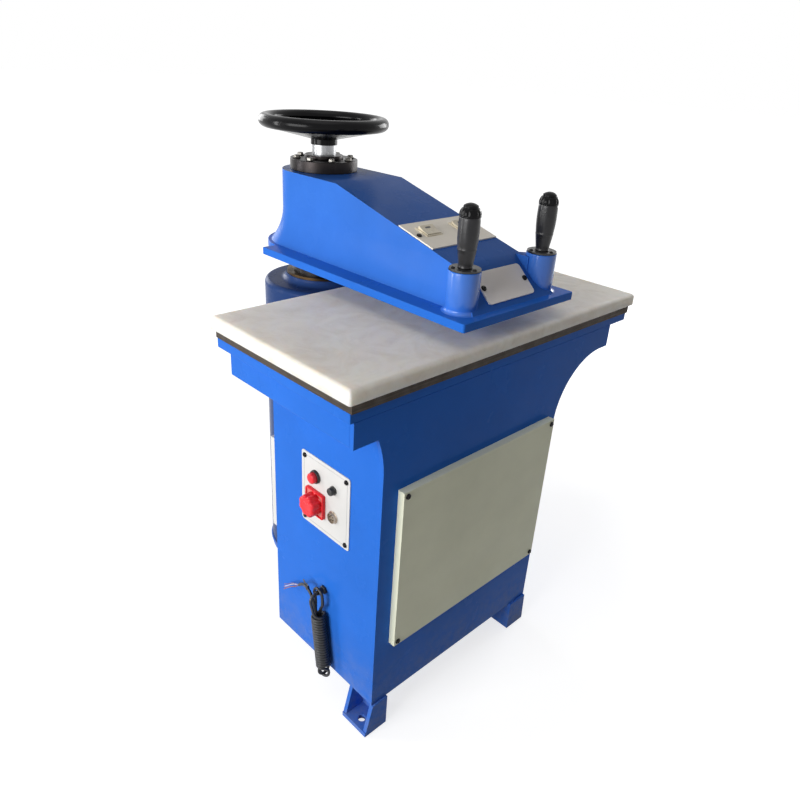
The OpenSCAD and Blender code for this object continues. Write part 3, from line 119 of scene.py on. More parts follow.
class Graph(Nodes):
    """A material's nodes. The calls return sockets."""

    def __init__(self, name):
        self.material = bpy.data.materials.new(name)
        self.material.use_nodes = True
        super().__init__(self.material.node_tree)
        self.shader = self.tree.nodes["Principled BSDF"]
        self.place = self.node("ShaderNodeTexCoord").outputs["Object"]

    def set(self, **sockets):
        for k, v in sockets.items():
            self.put(self.shader.inputs[k.replace("_", " ")], v)

    def mapped(self, scale=(1, 1, 1), turn=(0, 0, 0)):
        return self.node("ShaderNodeMapping", {"Vector": self.place, "Scale": scale, "Rotation": turn}).outputs[0]

    def noise(self, scale, detail=2.0, rough=0.5, at=None, distort=0.0):
        values = {"Vector": at or self.place, "Scale": scale, "Detail": detail, "Roughness": rough,
                  "Distortion": distort}
        return self.node("ShaderNodeTexNoise", values).outputs["Fac"]

    def ramp(self, value, *stops):
        n = self.node("ShaderNodeValToRGB", {"Fac": value})
        bar = n.color_ramp.elements
        while len(bar) < len(stops):
            bar.new(0.5)
        for e, (at, colour) in zip(bar, stops):
            e.position = at
            e.color = colour if hasattr(colour, "__len__") else (colour, colour, colour, 1)
        return n.outputs["Color"]

    def mix(self, factor, a, b, way="MIX"):
        n = self.node("ShaderNodeMix", data_type="RGBA", blend_type=way)
        for socket, value in ((n.inputs[0], factor), (n.inputs[6], a), (n.inputs[7], b)):
            self.put(socket, value)
        return n.outputs[2]

    def multiply(self, a, b):
        return self.maths("MULTIPLY", a, b)

    def bump(self, height, depth, normal=None):
        """Bump of that depth in metres, on top of another bump's normal where one is given."""
        values = {"Height": height, "Distance": depth, "Strength": 1.0}
        if normal is not None:
            values["Normal"] = normal
        return self.node("ShaderNodeBump", values).outputs["Normal"]

    def edges(self, radius, sharp=3.0):
        """About 1 at an edge, 0 on a face further away than the radius in metres."""
        round_normal = self.node("ShaderNodeBevel", {"Radius": radius}, samples=4).outputs[0]
        flat = self.node("ShaderNodeNewGeometry").outputs["Normal"]
        dot = self.node("ShaderNodeVectorMath", operation="DOT_PRODUCT")
        self.put(dot.inputs[0], round_normal)
        self.put(dot.inputs[1], flat)
        return self.maths("MULTIPLY", self.maths("SUBTRACT", 1.0, dot.outputs["Value"]), sharp, clamp=True)

    def height_above_floor(self):
        return self.node("ShaderNodeSeparateXYZ", {"Vector": self.place}).outputs["Z"]

    def facing_up(self, none, full):
        """0 where the normal's Z is up to none, 1 from full on."""
        normal = self.node("ShaderNodeNewGeometry").outputs["Normal"]
        up = self.node("ShaderNodeSeparateXYZ", {"Vector": normal}).outputs["Z"]
        return self.ramp(up, (none, 0.0), (full, 1.0))


def paint(name, colour, rough=0.3, peel=0.00004, lumps=0.0004, specular=0.4, edge_highlight=0.35, light_edge=1.5,
          edge=0.0012, dusty=0.0, peel_scale=330, top_shade=1.0):
    """Enamel on steel: orange peel, a little uneven colour, a painted highlight along the edges, dust near the
    floor.
    top_shade below 1 darkens level faces as painted shade."""
    g = Graph(name)
    patches = g.noise(4.5, 4, 0.6)
    body = g.mix(1.0, colour, g.ramp(patches, (0.25, 0.90), (0.75, 1.08)), "MULTIPLY")
    specks = g.ramp(g.noise(900, 2, 0.7), (0.68, 0.0), (0.76, 1.0))
    body = g.mix(g.multiply(specks, 0.05), body, tint(colour, 0.45))
    # painted highlight: the edges are made lighter, broken up by noise
    edge_highlight_mask = g.multiply(g.edges(edge), g.ramp(g.noise(60, 4, 0.7), (0.35, 0.25), (0.7, 1.0)))
    body = g.mix(g.multiply(edge_highlight_mask, edge_highlight), body, tint(colour, light_edge, 0.10))
    if dusty:
        low = g.ramp(g.height_above_floor(), (0.0, 1.0), (0.22, 0.0))
        film = g.multiply(low, g.ramp(g.noise(38, 5, 0.65), (0.35, 0.1), (0.7, 1.0)))
        body = g.mix(g.multiply(film, dusty), body, rgb("8c8a86"))
    # painted shade: faces that look up are made darker by top_shade
    if top_shade < 1:
        body = g.mix(g.facing_up(0.55, 0.85), body, g.mix(1.0, body, tint((1, 1, 1), top_shade), "MULTIPLY"))
    smooth = g.ramp(g.noise(11, 3, 0.6), (0.3, max(0.04, rough - 0.07)), (0.7, rough + 0.09))
    normal = g.bump(g.noise(9, 2), lumps)
    normal = g.bump(g.noise(peel_scale, 2, 0.4), peel, normal)
    g.set(Base_Color=body, Roughness=smooth, Normal=normal, Specular_IOR_Level=specular)
    return g.material


def metal(name, colour, rough=0.3, grain=(900, 900, 60), depth=0.00002, stain=0.25, dark="2a2622"):
    """Turned, ground or blacked steel and its kin."""
    g = Graph(name)
    lines = g.noise(1.0, 3, 0.6, g.mapped(grain))
    blotch = g.ramp(g.noise(22, 5, 0.65), (0.4, 0.0), (0.75, 1.0))
    body = g.mix(g.multiply(blotch, stain), colour, rgb(dark))
    body = g.mix(1.0, body, g.ramp(lines, (0.3, 0.86), (0.7, 1.06)), "MULTIPLY")
    worn = g.edges(0.0008)
    body = g.mix(g.multiply(worn, 0.35), body, tint(colour, 1.3, 0.08))
    smooth = g.ramp(g.noise(40, 4, 0.6), (0.3, max(0.05, rough - 0.09)), (0.7, rough + 0.12))
    g.set(Base_Color=body, Roughness=smooth, Normal=g.bump(lines, depth), Metallic=1.0)
    return g.material


def plastic(name, colour, rough=0.35, grain=500, depth=0.00004, specular=0.5, edge_light=0.12, coat=0.0):
    """Moulded plastic or rubber with a fine grain, faint handling marks and paler edges."""
    g = Graph(name)
    body = g.mix(1.0, colour, g.ramp(g.noise(28, 4, 0.6), (0.3, 0.90), (0.7, 1.10)), "MULTIPLY")
    body = g.mix(g.multiply(g.edges(0.0007), edge_light), body, tint(colour, 1.5, 0.12))
    marks = g.ramp(g.noise(1.0, 3, 0.6, g.mapped((240, 90, 150), (0.4, 0.9, 0.2))), (0.62, 0.0), (0.72, 1.0))
    smooth = g.maths("ADD", g.ramp(g.noise(70, 3), (0.3, max(0.03, rough - 0.05)), (0.7, rough + 0.07)),
                     g.multiply(marks, 0.10))
    g.set(Base_Color=body, Roughness=smooth, Normal=g.bump(g.noise(grain, 2, 0.5), depth),
          Specular_IOR_Level=specular, Coat_Weight=coat, Coat_Roughness=0.06)
    return g.material


def board_plastic():
    """Pressed nylon board: cream and a little translucent, clouded, scuffed, with fine cuts of dies."""
    g = Graph("board_plastic")
    body = g.mix(1.0, (0.97, 0.89, 0.80, 1.0), g.ramp(g.noise(5, 4, 0.55), (0.3, 0.94), (0.7, 1.04)), "MULTIPLY")
    clouds = g.ramp(g.noise(13, 5, 0.62, distort=1.4), (0.42, 0.0), (0.68, 1.0))
    body = g.mix(g.multiply(clouds, 0.25), body, rgb("b8a88e"))
    veins = g.noise(26, 4, 0.6, distort=2.2)
    ridge = g.maths("ABSOLUTE", g.maths("SUBTRACT", veins, 0.5))
    body = g.mix(g.multiply(g.ramp(ridge, (0.0, 1.0), (0.045, 0.0)), 0.28), body, rgb("f6f2ea"))
    grime = g.ramp(g.noise(34, 6, 0.72, distort=0.8), (0.56, 0.0), (0.80, 1.0))
    body = g.mix(g.multiply(grime, 0.15), body, rgb("8f8575"))
    cuts = None
    for turn in ((0.0, 0.0, 0.35), (0.0, 0.0, 1.3), (0.0, 0.0, 2.4)):
        line = g.ramp(g.noise(1.0, 2, 0.5, g.mapped((7, 520, 60), turn)), (0.655, 0.0), (0.69, 1.0))
        cuts = line if cuts is None else g.maths("MAXIMUM", cuts, line)
    cuts = g.multiply(cuts, g.facing_up(0.90, 0.99))
    body = g.mix(g.multiply(cuts, 0.22), body, rgb("f4f0e6"))
    normal = g.bump(g.noise(7, 2), 0.0012)
    normal = g.bump(g.noise(260, 3, 0.6), 0.00010, normal)
    normal = g.bump(g.maths("SUBTRACT", 0.5, g.multiply(cuts, 0.5)), 0.0002, normal)
    g.set(Base_Color=body, Roughness=g.ramp(g.noise(30, 4), (0.3, 0.42), (0.7, 0.60)), Normal=normal,
          Specular_IOR_Level=0.3, Subsurface_Weight=0.6, Subsurface_Scale=0.03)
    g.shader.inputs["Subsurface Radius"].default_value = (1.0, 0.8, 0.6)
    return g.material


def underlay_sheet():
    """Dark brown fibre and rubber sheet under the board."""
    g = Graph("underlay_sheet")
    layers = g.noise(1.0, 3, 0.6, g.mapped((12, 12, 620)))
    body = g.ramp(layers, (0.30, rgb("2c2620")), (0.58, rgb("433a32")), (0.80, rgb("5f554b")))
    body = g.mix(g.multiply(g.noise(480, 3), 0.3), body, rgb("1d1511"))
    normal = g.bump(layers, 0.0003)
    normal = g.bump(g.noise(700, 2), 0.00012, normal)
    g.set(Base_Color=body, Roughness=g.ramp(g.noise(60, 3), (0.3, 0.62), (0.7, 0.82)), Normal=normal,
          Specular_IOR_Level=0.3)
    return g.material


def cord_rubber():
    """Black flexible cord: fine draw lines, faint dust, soft sheen."""
    g = Graph("cord_rubber")
    dust = g.ramp(g.noise(95, 5, 0.7), (0.45, 0.0), (0.8, 1.0))
    body = g.mix(g.multiply(dust, 0.28), rgb("17181b"), rgb("5b5a58"))
    g.set(Base_Color=body, Roughness=g.ramp(g.noise(140, 3), (0.3, 0.34), (0.7, 0.52)),
          Normal=g.bump(g.noise(1100, 2), 0.00005), Specular_IOR_Level=0.5)
    return g.material


def grip_rubber():
    """Turned black rubber: fine rings round the grip, satin sheen, slight dust."""
    g = Graph("grip_rubber")
    dust = g.ramp(g.noise(60, 4, 0.7), (0.45, 0.0), (0.8, 1.0))
    body = g.mix(g.multiply(dust, 0.14), rgb("131316"), rgb("4a494e"))
    rings = g.noise(1.0, 2, 0.5, g.mapped((6, 6, 620)))
    normal = g.bump(g.noise(900, 2), 0.00003, g.bump(rings, 0.00012))
    g.set(Base_Color=body, Roughness=g.ramp(g.noise(90, 3), (0.3, 0.26), (0.7, 0.38)), Normal=normal,
          Specular_IOR_Level=0.35)
    return g.material


BLUE = (0.022, 0.140, 0.575, 1.0)
CAST_BLUE = (0.036, 0.155, 0.575, 1.0)
# painted shade: a darker blue for the tower, which stands in the shade under the arm
SHADED_BLUE = (0.019, 0.047, 0.150, 1.0)

materials = {
    "blue": paint("blue_paint", BLUE, rough=0.22, specular=0.03, dusty=0.45),
    # the cast arm's level faces are darker: painted shade through top_shade
    "blue_cast": paint("blue_cast", CAST_BLUE, rough=0.24, peel=0.00008, lumps=0.0010, peel_scale=210,
                       specular=0.02, edge_highlight=0.45, top_shade=0.70),
    # painted light: the bosses' blue is the cast blue made 1.1 times lighter, for the light they catch; the skin
    # is also glossier
    "blue_boss": paint("boss_paint", tint(CAST_BLUE, 1.1), rough=0.22, peel=0.00006, lumps=0.0005, specular=0.5,
                       edge_highlight=0.45),
    # the tower's material carries the painted shade of SHADED_BLUE
    "tower_painted_shade": paint("tower_painted_shade", SHADED_BLUE, rough=0.26, specular=0.04),
    "cover": paint("cover_paint", (0.81, 0.815, 0.62, 1.0), rough=0.42, edge_highlight=0.5, light_edge=1.3, specular=0.2),
    "white": paint("white_paint", rgb("cecdca"), rough=0.38, peel=0.00005, edge_highlight=0.2, light_edge=1.1),
    "cream_sheet": paint("switch_plate", (0.84, 0.78, 0.68, 1.0), rough=0.42, peel=0.00005, edge_highlight=0.5,
                         light_edge=1.2),
    "plate": paint("plate_paint", (0.93, 0.87, 0.82, 1.0), rough=0.45, peel=0.00006, edge_highlight=0.8, light_edge=1.2,
                   edge=0.0016),
    "board": board_plastic(),
    "underlay": underlay_sheet(),
    "screw": metal("black_screws", rgb("1c1c1d"), 0.34, stain=0.15),
    "blacked": metal("blacked_steel", rgb("2c2a2b"), 0.34, stain=0.35, dark="3a322c"),
    "zinc": metal("zinc_bolts", rgb("8d8a84"), 0.34, grain=(300, 300, 300), stain=0.35),
    # painted shade: dark steel for the column and its sleeve, for the shade under the arm, with oily stains
    "oiled_shaded": metal("oiled_and_shaded_steel", rgb("343334"), 0.24, grain=(40, 40, 1600), stain=0.3),
    "bright": metal("bright_steel", rgb("a4a5a7"), 0.28, grain=(30, 30, 2400), stain=0.2),
    "ground": metal("ground_steel", rgb("9fa1a4"), 0.16, grain=(40, 40, 1600), stain=0.15),
    "spring": metal("spring_steel", rgb("57585b"), 0.38),
    "bronze": metal("bronze", rgb("54422c"), 0.40, grain=(60, 60, 1500), stain=0.5, dark="181410"),
    "iron": metal("cast_iron", rgb("4b4c4e"), 0.55, grain=(300, 300, 300), depth=0.0003),
    "aluminium": metal("aluminium", rgb("a9abad"), 0.42, grain=(350, 350, 350), depth=0.0002),
    "tank": paint("tank_paint", rgb("43464a"), rough=0.4),
    "black": plastic("black_plastic", rgb("151516"), 0.38),
    "gloss": plastic("gloss_black", rgb("08080a"), 0.18, grain=300, depth=0.00003, specular=0.12, edge_light=0.05),
    "grip": grip_rubber(),
    "red": plastic("red_plastic", (0.74, 0.022, 0.032, 1.0), 0.24, grain=300, depth=0.00003, specular=0.22),
    "pink": plastic("faded_red", rgb("cf6a63"), 0.36),
    "cream": plastic("cream_plastic", rgb("d8cdb4"), 0.26, coat=0.2),
    "grey": plastic("grey_plastic", rgb("8d8e8d"), 0.45),
    "nickel": metal("nickel", rgb("b3a698"), 0.30, grain=(40, 900, 40), stain=0.2),
    "cord": cord_rubber(),
    "mark": plastic("dark_mark", rgb("3a3b3d"), 0.5),
    "line": plastic("fine_line", rgb("8d8d8c"), 0.5),
    "face": plastic("socket_face", rgb("7d7060"), 0.45),
    "core_white": plastic("core_white", rgb("b6afc0"), 0.4),
    "core_pink": plastic("core_pink", rgb("7a4a60"), 0.4),
    "core_violet": plastic("core_violet", rgb("46468c"), 0.4),
    "copper": metal("copper", rgb("b8693c"), 0.3, grain=(2000, 60, 60)),
}


# ------------ meshes

class Shape:
    """Points and faces that become one piece. Sizes in millimetres in the shape's own place."""

    def __init__(self):
        self.points, self.faces, self.slots = [], [], []

    def add(self, points, faces, place=None, slot=0):
        base = len(self.points)
        for p in points:
            p = Vector(p) * MM
            self.points.append(place @ p if place else p)
        self.faces += [[base + i for i in f] for f in faces]
        self.slots += [slot] * len(faces)
        return self

    def lathe(self, profile, place=None, steps=64, slot=0, closed=False, radius=None):
        """Turns a profile of (r, z) about Z. radius(angle, r, z, ring) may change r."""
        points, rings = [], []
        for k, (r, z) in enumerate(profile):
            if r == 0:
                rings.append([len(points)] * steps)
                points.append((0, 0, z))
                continue
            ring = []
            for i in range(steps):
                a = 2 * math.pi * i / steps
                q = radius(a, r, z, k) if radius else r
                ring.append(len(points))
                points.append((q * math.cos(a), q * math.sin(a), z))
            rings.append(ring)
        faces = []
        pairs = list(zip(rings, rings[1:])) + ([(rings[-1], rings[0])] if closed else [])
        for a, b in pairs:
            for i in range(steps):
                j = (i + 1) % steps
                f = list(dict.fromkeys((a[i], a[j], b[j], b[i])))
                if len(f) > 2:
                    faces.append(f)
        return self.add(points, faces, place, slot)

    def stack(self, outlines, place=None, slot=0, caps=True):
        """Joins outlines of equal point counts, each a list of (x, y, z)."""
        n = len(outlines[0])
        points = [p for o in outlines for p in o]
        faces = []
        for k in range(len(outlines) - 1):
            for i in range(n):
                j = (i + 1) % n
                faces.append([k * n + i, k * n + j, (k + 1) * n + j, (k + 1) * n + i])
        if caps:
            faces.append(list(range(n))[::-1])
            faces.append([(len(outlines) - 1) * n + i for i in range(n)])
        return self.add(points, faces, place, slot)

    def tube(self, path, radius, sides=10, slot=0, flat=1.0):
        """A closed tube along a path. Path and radius are in metres, and radius may be a list."""
        path = [Vector(p) for p in path]
        count = len(path)
        heads = [(path[min(i + 1, count - 1)] - path[max(i - 1, 0)]).normalized() for i in range(count)]
        side = heads[0].orthogonal().normalized()
        points = []
        for i, (p, h) in enumerate(zip(path, heads)):
            if i:
                side = (heads[i - 1].rotation_difference(h) @ side)
                side = (side - h * side.dot(h)).normalized()
            other = h.cross(side)
            r = radius[i] if hasattr(radius, "__len__") else radius
            for k in range(sides):
                a = 2 * math.pi * k / sides
                points.append((p + side * (r * math.cos(a)) + other * (r * flat * math.sin(a))) / MM)
        faces = []
        for i in range(count - 1):
            for k in range(sides):
                j = (k + 1) % sides
                faces.append([i * sides + k, i * sides + j, (i + 1) * sides + j, (i + 1) * sides + k])
        faces.append(list(range(sides))[::-1])
        faces.append([(count - 1) * sides + k for k in range(sides)])
        return self.add(points, faces, None, slot)


def piece(shape, name, looks, body="frame", replaced=(), sharp=38):
    """Makes the piece, shades it smooth up to the angle sharp, gives it its materials and sets it on its body."""
    mesh = bpy.data.meshes.new(name)
    mesh.from_pydata([tuple(p) for p in shape.points], [], shape.faces)
    b = bmesh.new()
    b.from_mesh(mesh)
    for f, s in zip(b.faces, shape.slots):
        f.material_index = s
        f.smooth = True
    bmesh.ops.recalc_face_normals(b, faces=b.faces)
    for e in b.edges:
        if len(e.link_faces) == 2 and e.calc_face_angle(0) > math.radians(sharp):
            e.smooth = False
    b.to_mesh(mesh)
    b.free()
    o = bpy.data.objects.new(name, mesh)
    bpy.context.scene.collection.objects.link(o)
    for look in looks:
        mesh.materials.append(materials[look])
    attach(o, body)
    if replaced:
        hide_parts(*replaced)
    return o


def add_bevel(o, width, segments, angle):
    """Breaks the edges by a width in millimetres and keeps the flat faces flat."""
    m = o.modifiers.new("bevel", "BEVEL")
    m.width = width * MM
    m.segments = segments
    m.limit_method = "ANGLE"
    m.angle_limit = math.radians(angle)
    m.harden_normals = False
    m.use_clamp_overlap = True
    n = o.modifiers.new("flat_faces", "WEIGHTED_NORMAL")
    n.keep_sharp = False
    n.weight = 100


def dress(look, nodes, bevel=0.0, segments=2, angle=35):
    """Gives carried-over nodes a material, and broken edges where a width is given."""
    for name in nodes:
        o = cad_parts[name]
        if not o.data.materials:
            o.data.materials.append(materials[look])
        for i in range(len(o.data.materials)):
            o.data.materials[i] = materials[look]
        if bevel:
            w = o.modifiers.new("join", "WELD")
            w.merge_threshold = 0.00002
            d = o.modifiers.new("plain_faces", "DECIMATE")
            d.decimate_type = "DISSOLVE"
            d.angle_limit = math.radians(0.6)
            add_bevel(o, bevel, segments, angle)


def rounded(w, d, r, steps=6):
    """Outline of a rectangle with round corners, in x and y."""
    out = []
    for k, (sx, sy) in enumerate(((1, 1), (-1, 1), (-1, -1), (1, -1))):
        for i in range(steps + 1):
            a = math.pi / 2 * (k + i / steps)
            out.append((sx * (w / 2 - r) + r * math.cos(a), sy * (d / 2 - r) + r * math.sin(a)))
    return out


def quarter_turn(steps=7):
    """Sine and cosine at even steps of a quarter turn, after its start."""
    angles = [math.pi / 2 * i / steps for i in range(1, steps + 1)]
    return [(math.sin(a), math.cos(a)) for a in angles]


def hexagon(flat, a):
    """Radius of a hexagon at the angle a, flat away from the centre at its sides."""
    return flat / math.cos((a + math.pi / 6) % (math.pi / 3) - math.pi / 6)


def hexagon_rings(first, last):
    """Makes those rings of a lathe profile hexagonal."""
    return lambda a, r, z, k: hexagon(r, a) if first <= k <= last else r


def ribbed(count, depth, least_r, above=-1.0):
    """Fine ribs on a lathe's surfaces outside the radius least_r and over the height above."""
    return lambda a, r, z, k: (r - depth * (0.5 + 0.5 * math.cos(count * a)) if r > least_r and z > above else r)


def place_at(x, y, z, turn=None):
    """Place of a shape at a point in millimetres, with its own +Z turned."""
    return Matrix.Translation(mm(x, y, z)) @ (turn or Matrix.Identity(3)).to_4x4()


TO_LEFT = Matrix.Rotation(math.radians(-90), 3, "Y")
TO_FRONT = Matrix.Rotation(math.radians(90), 3, "X")
TO_REAR = Matrix.Rotation(math.radians(-90), 3, "X")

# sizes repeated from the model, in millimetres
BOARD_L, BOARD_D, BOARD_Y = 900, 440, -426
BOARD_LOW, BOARD_TOP, BOARD_CORNER_R = 859, 887, 5
FRONT_Y, REAR_Y = -636, -285
CABINET_LEFT, CABINET_RIGHT = -356, 194
SKIRT_Z, FLARE_OUT = 83, 44
COVER_X, COVER_Z, COVER_W, COVER_H, COVER_OUT, COVER_INSET = -73, 441.5, 484, 391, 17, 20
REAR_COVER_X, REAR_COVER_Z, REAR_COVER_OUT = -251, 487, 14
TOWER_R, TOWER_FOOT_Z = 151, 21
NECK_HALF = 127
ARM_TOP, BODY_Z = 1111, 939.5
KNEE = 171
NOSE_Y, NOSE_Z, NOSE_FOOT_Y, NOSE_DROP = -541, 1013, -621, 73.5
BLANK_PLACE = 0.55
SLOPE = math.atan((ARM_TOP - NOSE_Z) / (-KNEE - NOSE_Y))
NOSE = math.atan(NOSE_DROP / (NOSE_Y - NOSE_FOOT_Y))
SHEET_TOP = 3.01
BOSS_X, BOSS_Y, BOSS_R = 121, -582, 31.7
DISC_Z, DISC_T, DISC_SCREWS_R = 1020, 4, 24.2
GRIP_Z, GRIP_L = 1024, 94
GRIP_TOP = GRIP_Z + GRIP_L
FLANGE_TOP, FLANGE_BOLTS, BOLT_CIRCLE_R = 1137, 8, 67
CONTROL_FACE = -358
CONTROL_Y, CONTROL_Z = -467.5, 542.5
BUTTON = (-437.5, 584)
FUSE = (-495.5, 580)
SWITCH = (-439.5, 522)
SOCKET = (-495.5, 514)
SIDES = (-1, 1)


def on_slope(y):
    """Place on the arm's sloping face at that y."""
    return place_at(0, y, ARM_TOP - (-KNEE - y) * math.tan(SLOPE), Matrix.Rotation(SLOPE, 3, "X"))


def on_nose(part):
    """Place on the arm's steep front face, that part of its way down."""
    y = NOSE_Y + part * (NOSE_FOOT_Y - NOSE_Y)
    return place_at(0, y, NOSE_Z - part * NOSE_DROP, Matrix.Rotation(NOSE, 3, "X"))


def shifted(place, x, y, z=0.0):
    """The place moved by millimetres along its own axes."""
    return place @ Matrix.Translation(mm(x, y, z))


# ------------ mains cord

CORD_D = 6.8
BEND_R = 13.7
WRAP_R = 14.0
PITCH = 6.95
HANK_LEAN = math.radians(8)
HANK_LOW = np.array([-375.0, -491.0, 84.0])
GLAND = (-380.0, -466.0, 300.0)


def hank_point(p):
    """Model point of a point in the hank's own place, whose third axis runs up the leaning hank."""
    c, s = math.cos(HANK_LEAN), math.sin(HANK_LEAN)
    return HANK_LOW + np.array([p[0], p[1] * c + p[2] * s, p[2] * c - p[1] * s])


def hank_place(p):
    """The hank's own place of a model point."""
    d = np.asarray(p, float) - HANK_LOW
    c, s = math.cos(HANK_LEAN), math.sin(HANK_LEAN)
    return np.array([d[0], d[1] * c - d[2] * s, d[1] * s + d[2] * c])


def respaced(p, step):
    """The same line with points at even steps."""
    along = np.concatenate([[0], np.cumsum(np.linalg.norm(np.diff(p, axis=0), axis=1))])
    at = np.linspace(0, along[-1], int(round(along[-1] / step)) + 1)
    return np.stack([np.interp(at, along, p[:, k]) for k in range(3)], axis=1)


def smooth_line(points, step):
    """Smooth curve through the points, with even steps."""
    p = np.array(points, float)
    p = np.vstack([2 * p[0] - p[1], p, 2 * p[-1] - p[-2]])
    out = []
    for i in range(1, len(p) - 2):
        t = [0.0]
        for a, b in ((p[i - 1], p[i]), (p[i], p[i + 1]), (p[i + 1], p[i + 2])):
            t.append(t[-1] + math.sqrt(np.linalg.norm(b - a)))
        for s in np.linspace(t[1], t[2], 12, endpoint=False):
            a1 = (t[1] - s) / (t[1] - t[0]) * p[i - 1] + (s - t[0]) / (t[1] - t[0]) * p[i]
            a2 = (t[2] - s) / (t[2] - t[1]) * p[i] + (s - t[1]) / (t[2] - t[1]) * p[i + 1]
            a3 = (t[3] - s) / (t[3] - t[2]) * p[i + 1] + (s - t[2]) / (t[3] - t[2]) * p[i + 2]
            b1 = (t[2] - s) / (t[2] - t[0]) * a1 + (s - t[0]) / (t[2] - t[0]) * a2
            b2 = (t[3] - s) / (t[3] - t[1]) * a2 + (s - t[1]) / (t[3] - t[1]) * a3
            out.append((t[2] - s) / (t[2] - t[1]) * b1 + (s - t[1]) / (t[2] - t[1]) * b2)
    out.append(p[-2])
    return respaced(np.array(out), step)


def turn_of(a):
    return np.array([math.cos(a), math.sin(a), 0.0])


def arc(middle, along, across, start, end, count):
    """Points of a bend of the cord's least radius round the middle."""
    return [middle + BEND_R * (math.cos(a) * along + math.sin(a) * across) for a in np.linspace(start, end, count)]


def on_wraps(a, w):
    return np.array([WRAP_R * math.cos(a), WRAP_R * math.sin(a), w])


# free end of the cord above the hank, in the hank's own place
FREE_END = ((-4.4, 0.4, 152.0), (-4.9, 2.2, 168.0), (-6.0, 4.5, 184.0), (-6.6, 7.5, 199.0), (-6.6, 14.5, 212.5),
            (-6.2, 25.5, 220.5), (-5.2, 38.5, 221.0), (-4.0, 50.5, 215.5), (-2.5, 62.0, 207.0))


def cord_route():
    """Centre line of the mains cord in millimetres: out of the gland, down to the wraps, round and round to
    the lower fold, up inside the wraps, over the gland's sleeve, down, back up and out to the bare end."""
    up, out_x = np.array([0, 0, 1.0]), np.array([1.0, 0, 0])
    # three straight runs stand inside the wraps: two side by side and one across
    fold, run_r, third_r = math.radians(285), 4.1, 6.8
    beside = turn_of(fold + math.radians(75))
    runs = [run_r * beside, -run_r * beside, -third_r * turn_of(fold)]
    # heights of the lower fold, the first wrap, the inner fold and the runs' straight part
    fold_w, top_w, inner_w, core_low, core_top, run_step = -1.0, 156.0, 6.7, 50, 150, 16
    gland = hank_place(GLAND)
    line = [gland, gland + [-2.0, 0, 0]]
    line += arc(gland + [-2.0, 0, -BEND_R], up, -out_x, math.radians(25), math.radians(90), 4)
    # on the wraps' cylinder, from the wraps' slope to straight down, as fast as the bend allows
    step, every = 0.5, 10
    slope, angle, w, leave = math.atan(PITCH / (2 * math.pi * WRAP_R)), 0.0, 0.0, []
    while slope < math.pi / 2:
        leave.append((angle, w))
        k = math.sqrt(max(1 / BEND_R**2 - (math.cos(slope) ** 2 / WRAP_R) ** 2, 1e-5))
        angle += math.cos(slope) * step / WRAP_R
        w -= math.sin(slope) * step
        slope += k * step
    leave.append((angle, w))
    start = math.pi
    for a, w in leave[::-1][::every]:
        line.append(on_wraps(start + leave[-1][0] - a, top_w - w))
    first = start + leave[-1][0]
    low_w = fold_w - leave[-1][1] + 2.3
    lead = fold - leave[-1][0] - first
    total = round(((top_w - low_w) / PITCH * 2 * math.pi - lead) / (2 * math.pi)) * 2 * math.pi + lead
    steps = int(total / math.radians(24))
    for k in range(steps + 1):
        line.append(on_wraps(first + total * k / steps, top_w - (top_w - low_w) * k / steps))
    for a, w in leave[every::every]:
        line.append(on_wraps(first + total + a, low_w + w))
    # lower fold, and its neck up into the core
    line += arc(fold_w * up, turn_of(fold), -up, math.radians(15), math.pi, 7)
    side, neck_r = -turn_of(fold), 16.5
    across = side * BEND_R - runs[2]
    reach = np.linalg.norm(across)
    across = across / reach
    bow = math.acos(1 - reach / (2 * neck_r))
    for a in np.linspace(0.25 * bow, bow, 3):
        line.append(side * BEND_R + (fold_w + neck_r * math.sin(a)) * up - across * neck_r * (1 - math.cos(a)))
    for a in np.linspace(0.66 * bow, 0, 3):
        line.append(runs[2] + across * neck_r * (1 - math.cos(a))
                    + (fold_w + neck_r * (2 * math.sin(bow) - math.sin(a))) * up)
    line += [runs[2] + w * up for w in range(core_low, core_top, run_step)]
    # loop that hangs over the gland's sleeve
    loop_u, loop_v, loop_w = 2.0, gland[1] + 1.0, gland[2] + 9.5 - BEND_R
    line += [runs[2] + 152.0 * up, np.array([runs[2][0] * 0.7 + loop_u * 0.3, runs[2][1] + 1.0, 170.0]),
             np.array([loop_u, loop_v + BEND_R - 1.5, 190.0])]
    line += [np.array([loop_u, loop_v + BEND_R * math.cos(a), loop_w + BEND_R * math.sin(a)])
             for a in np.linspace(0, math.pi, 9)]
    line += [np.array([loop_u, loop_v - BEND_R + 1.5, 190.0]),
             np.array([runs[0][0] * 0.7 + loop_u * 0.3, runs[0][1] - 4.5, 170.0]),
             np.array([runs[0][0], runs[0][1] - 0.6, 154.0])]
    line += [runs[0] + w * up for w in range(core_top - 4, core_low - 6, -run_step)]
    # inner fold between the two middle runs
    span = runs[0] - runs[1]
    half = np.linalg.norm(span) / 2
    span = span / (2 * half)
    rise = math.sqrt((2 * BEND_R) ** 2 - (BEND_R + half) ** 2)
    lean = math.asin(rise / (2 * BEND_R))
    middle = inner_w * up
    for a in np.linspace(0, lean, 4):
        line.append(middle + (BEND_R + half) * span + rise * up - BEND_R * (math.cos(a) * span + math.sin(a) * up))
    line += arc(middle, span, -up, 0.2 - lean, math.pi + lean - 0.2, 12)
    for a in np.linspace(lean, 0, 4):
        line.append(middle - (BEND_R + half) * span + rise * up + BEND_R * (math.cos(a) * span - math.sin(a) * up))
    line += [runs[1] + w * up for w in range(core_low, core_top, run_step)]
    line += [np.array(p) for p in FREE_END]
    return [hank_point(p) for p in smooth_line(line, 2.2)]


cord_line = [Vector(p) * MM for p in cord_route()]
mains_lead = piece(Shape().tube(cord_line, CORD_D / 2 * MM, 12), "mains_lead", ["cord"],
                   replaced=("mains_cord", "cord_hank", "cord_tail"), sharp=60)

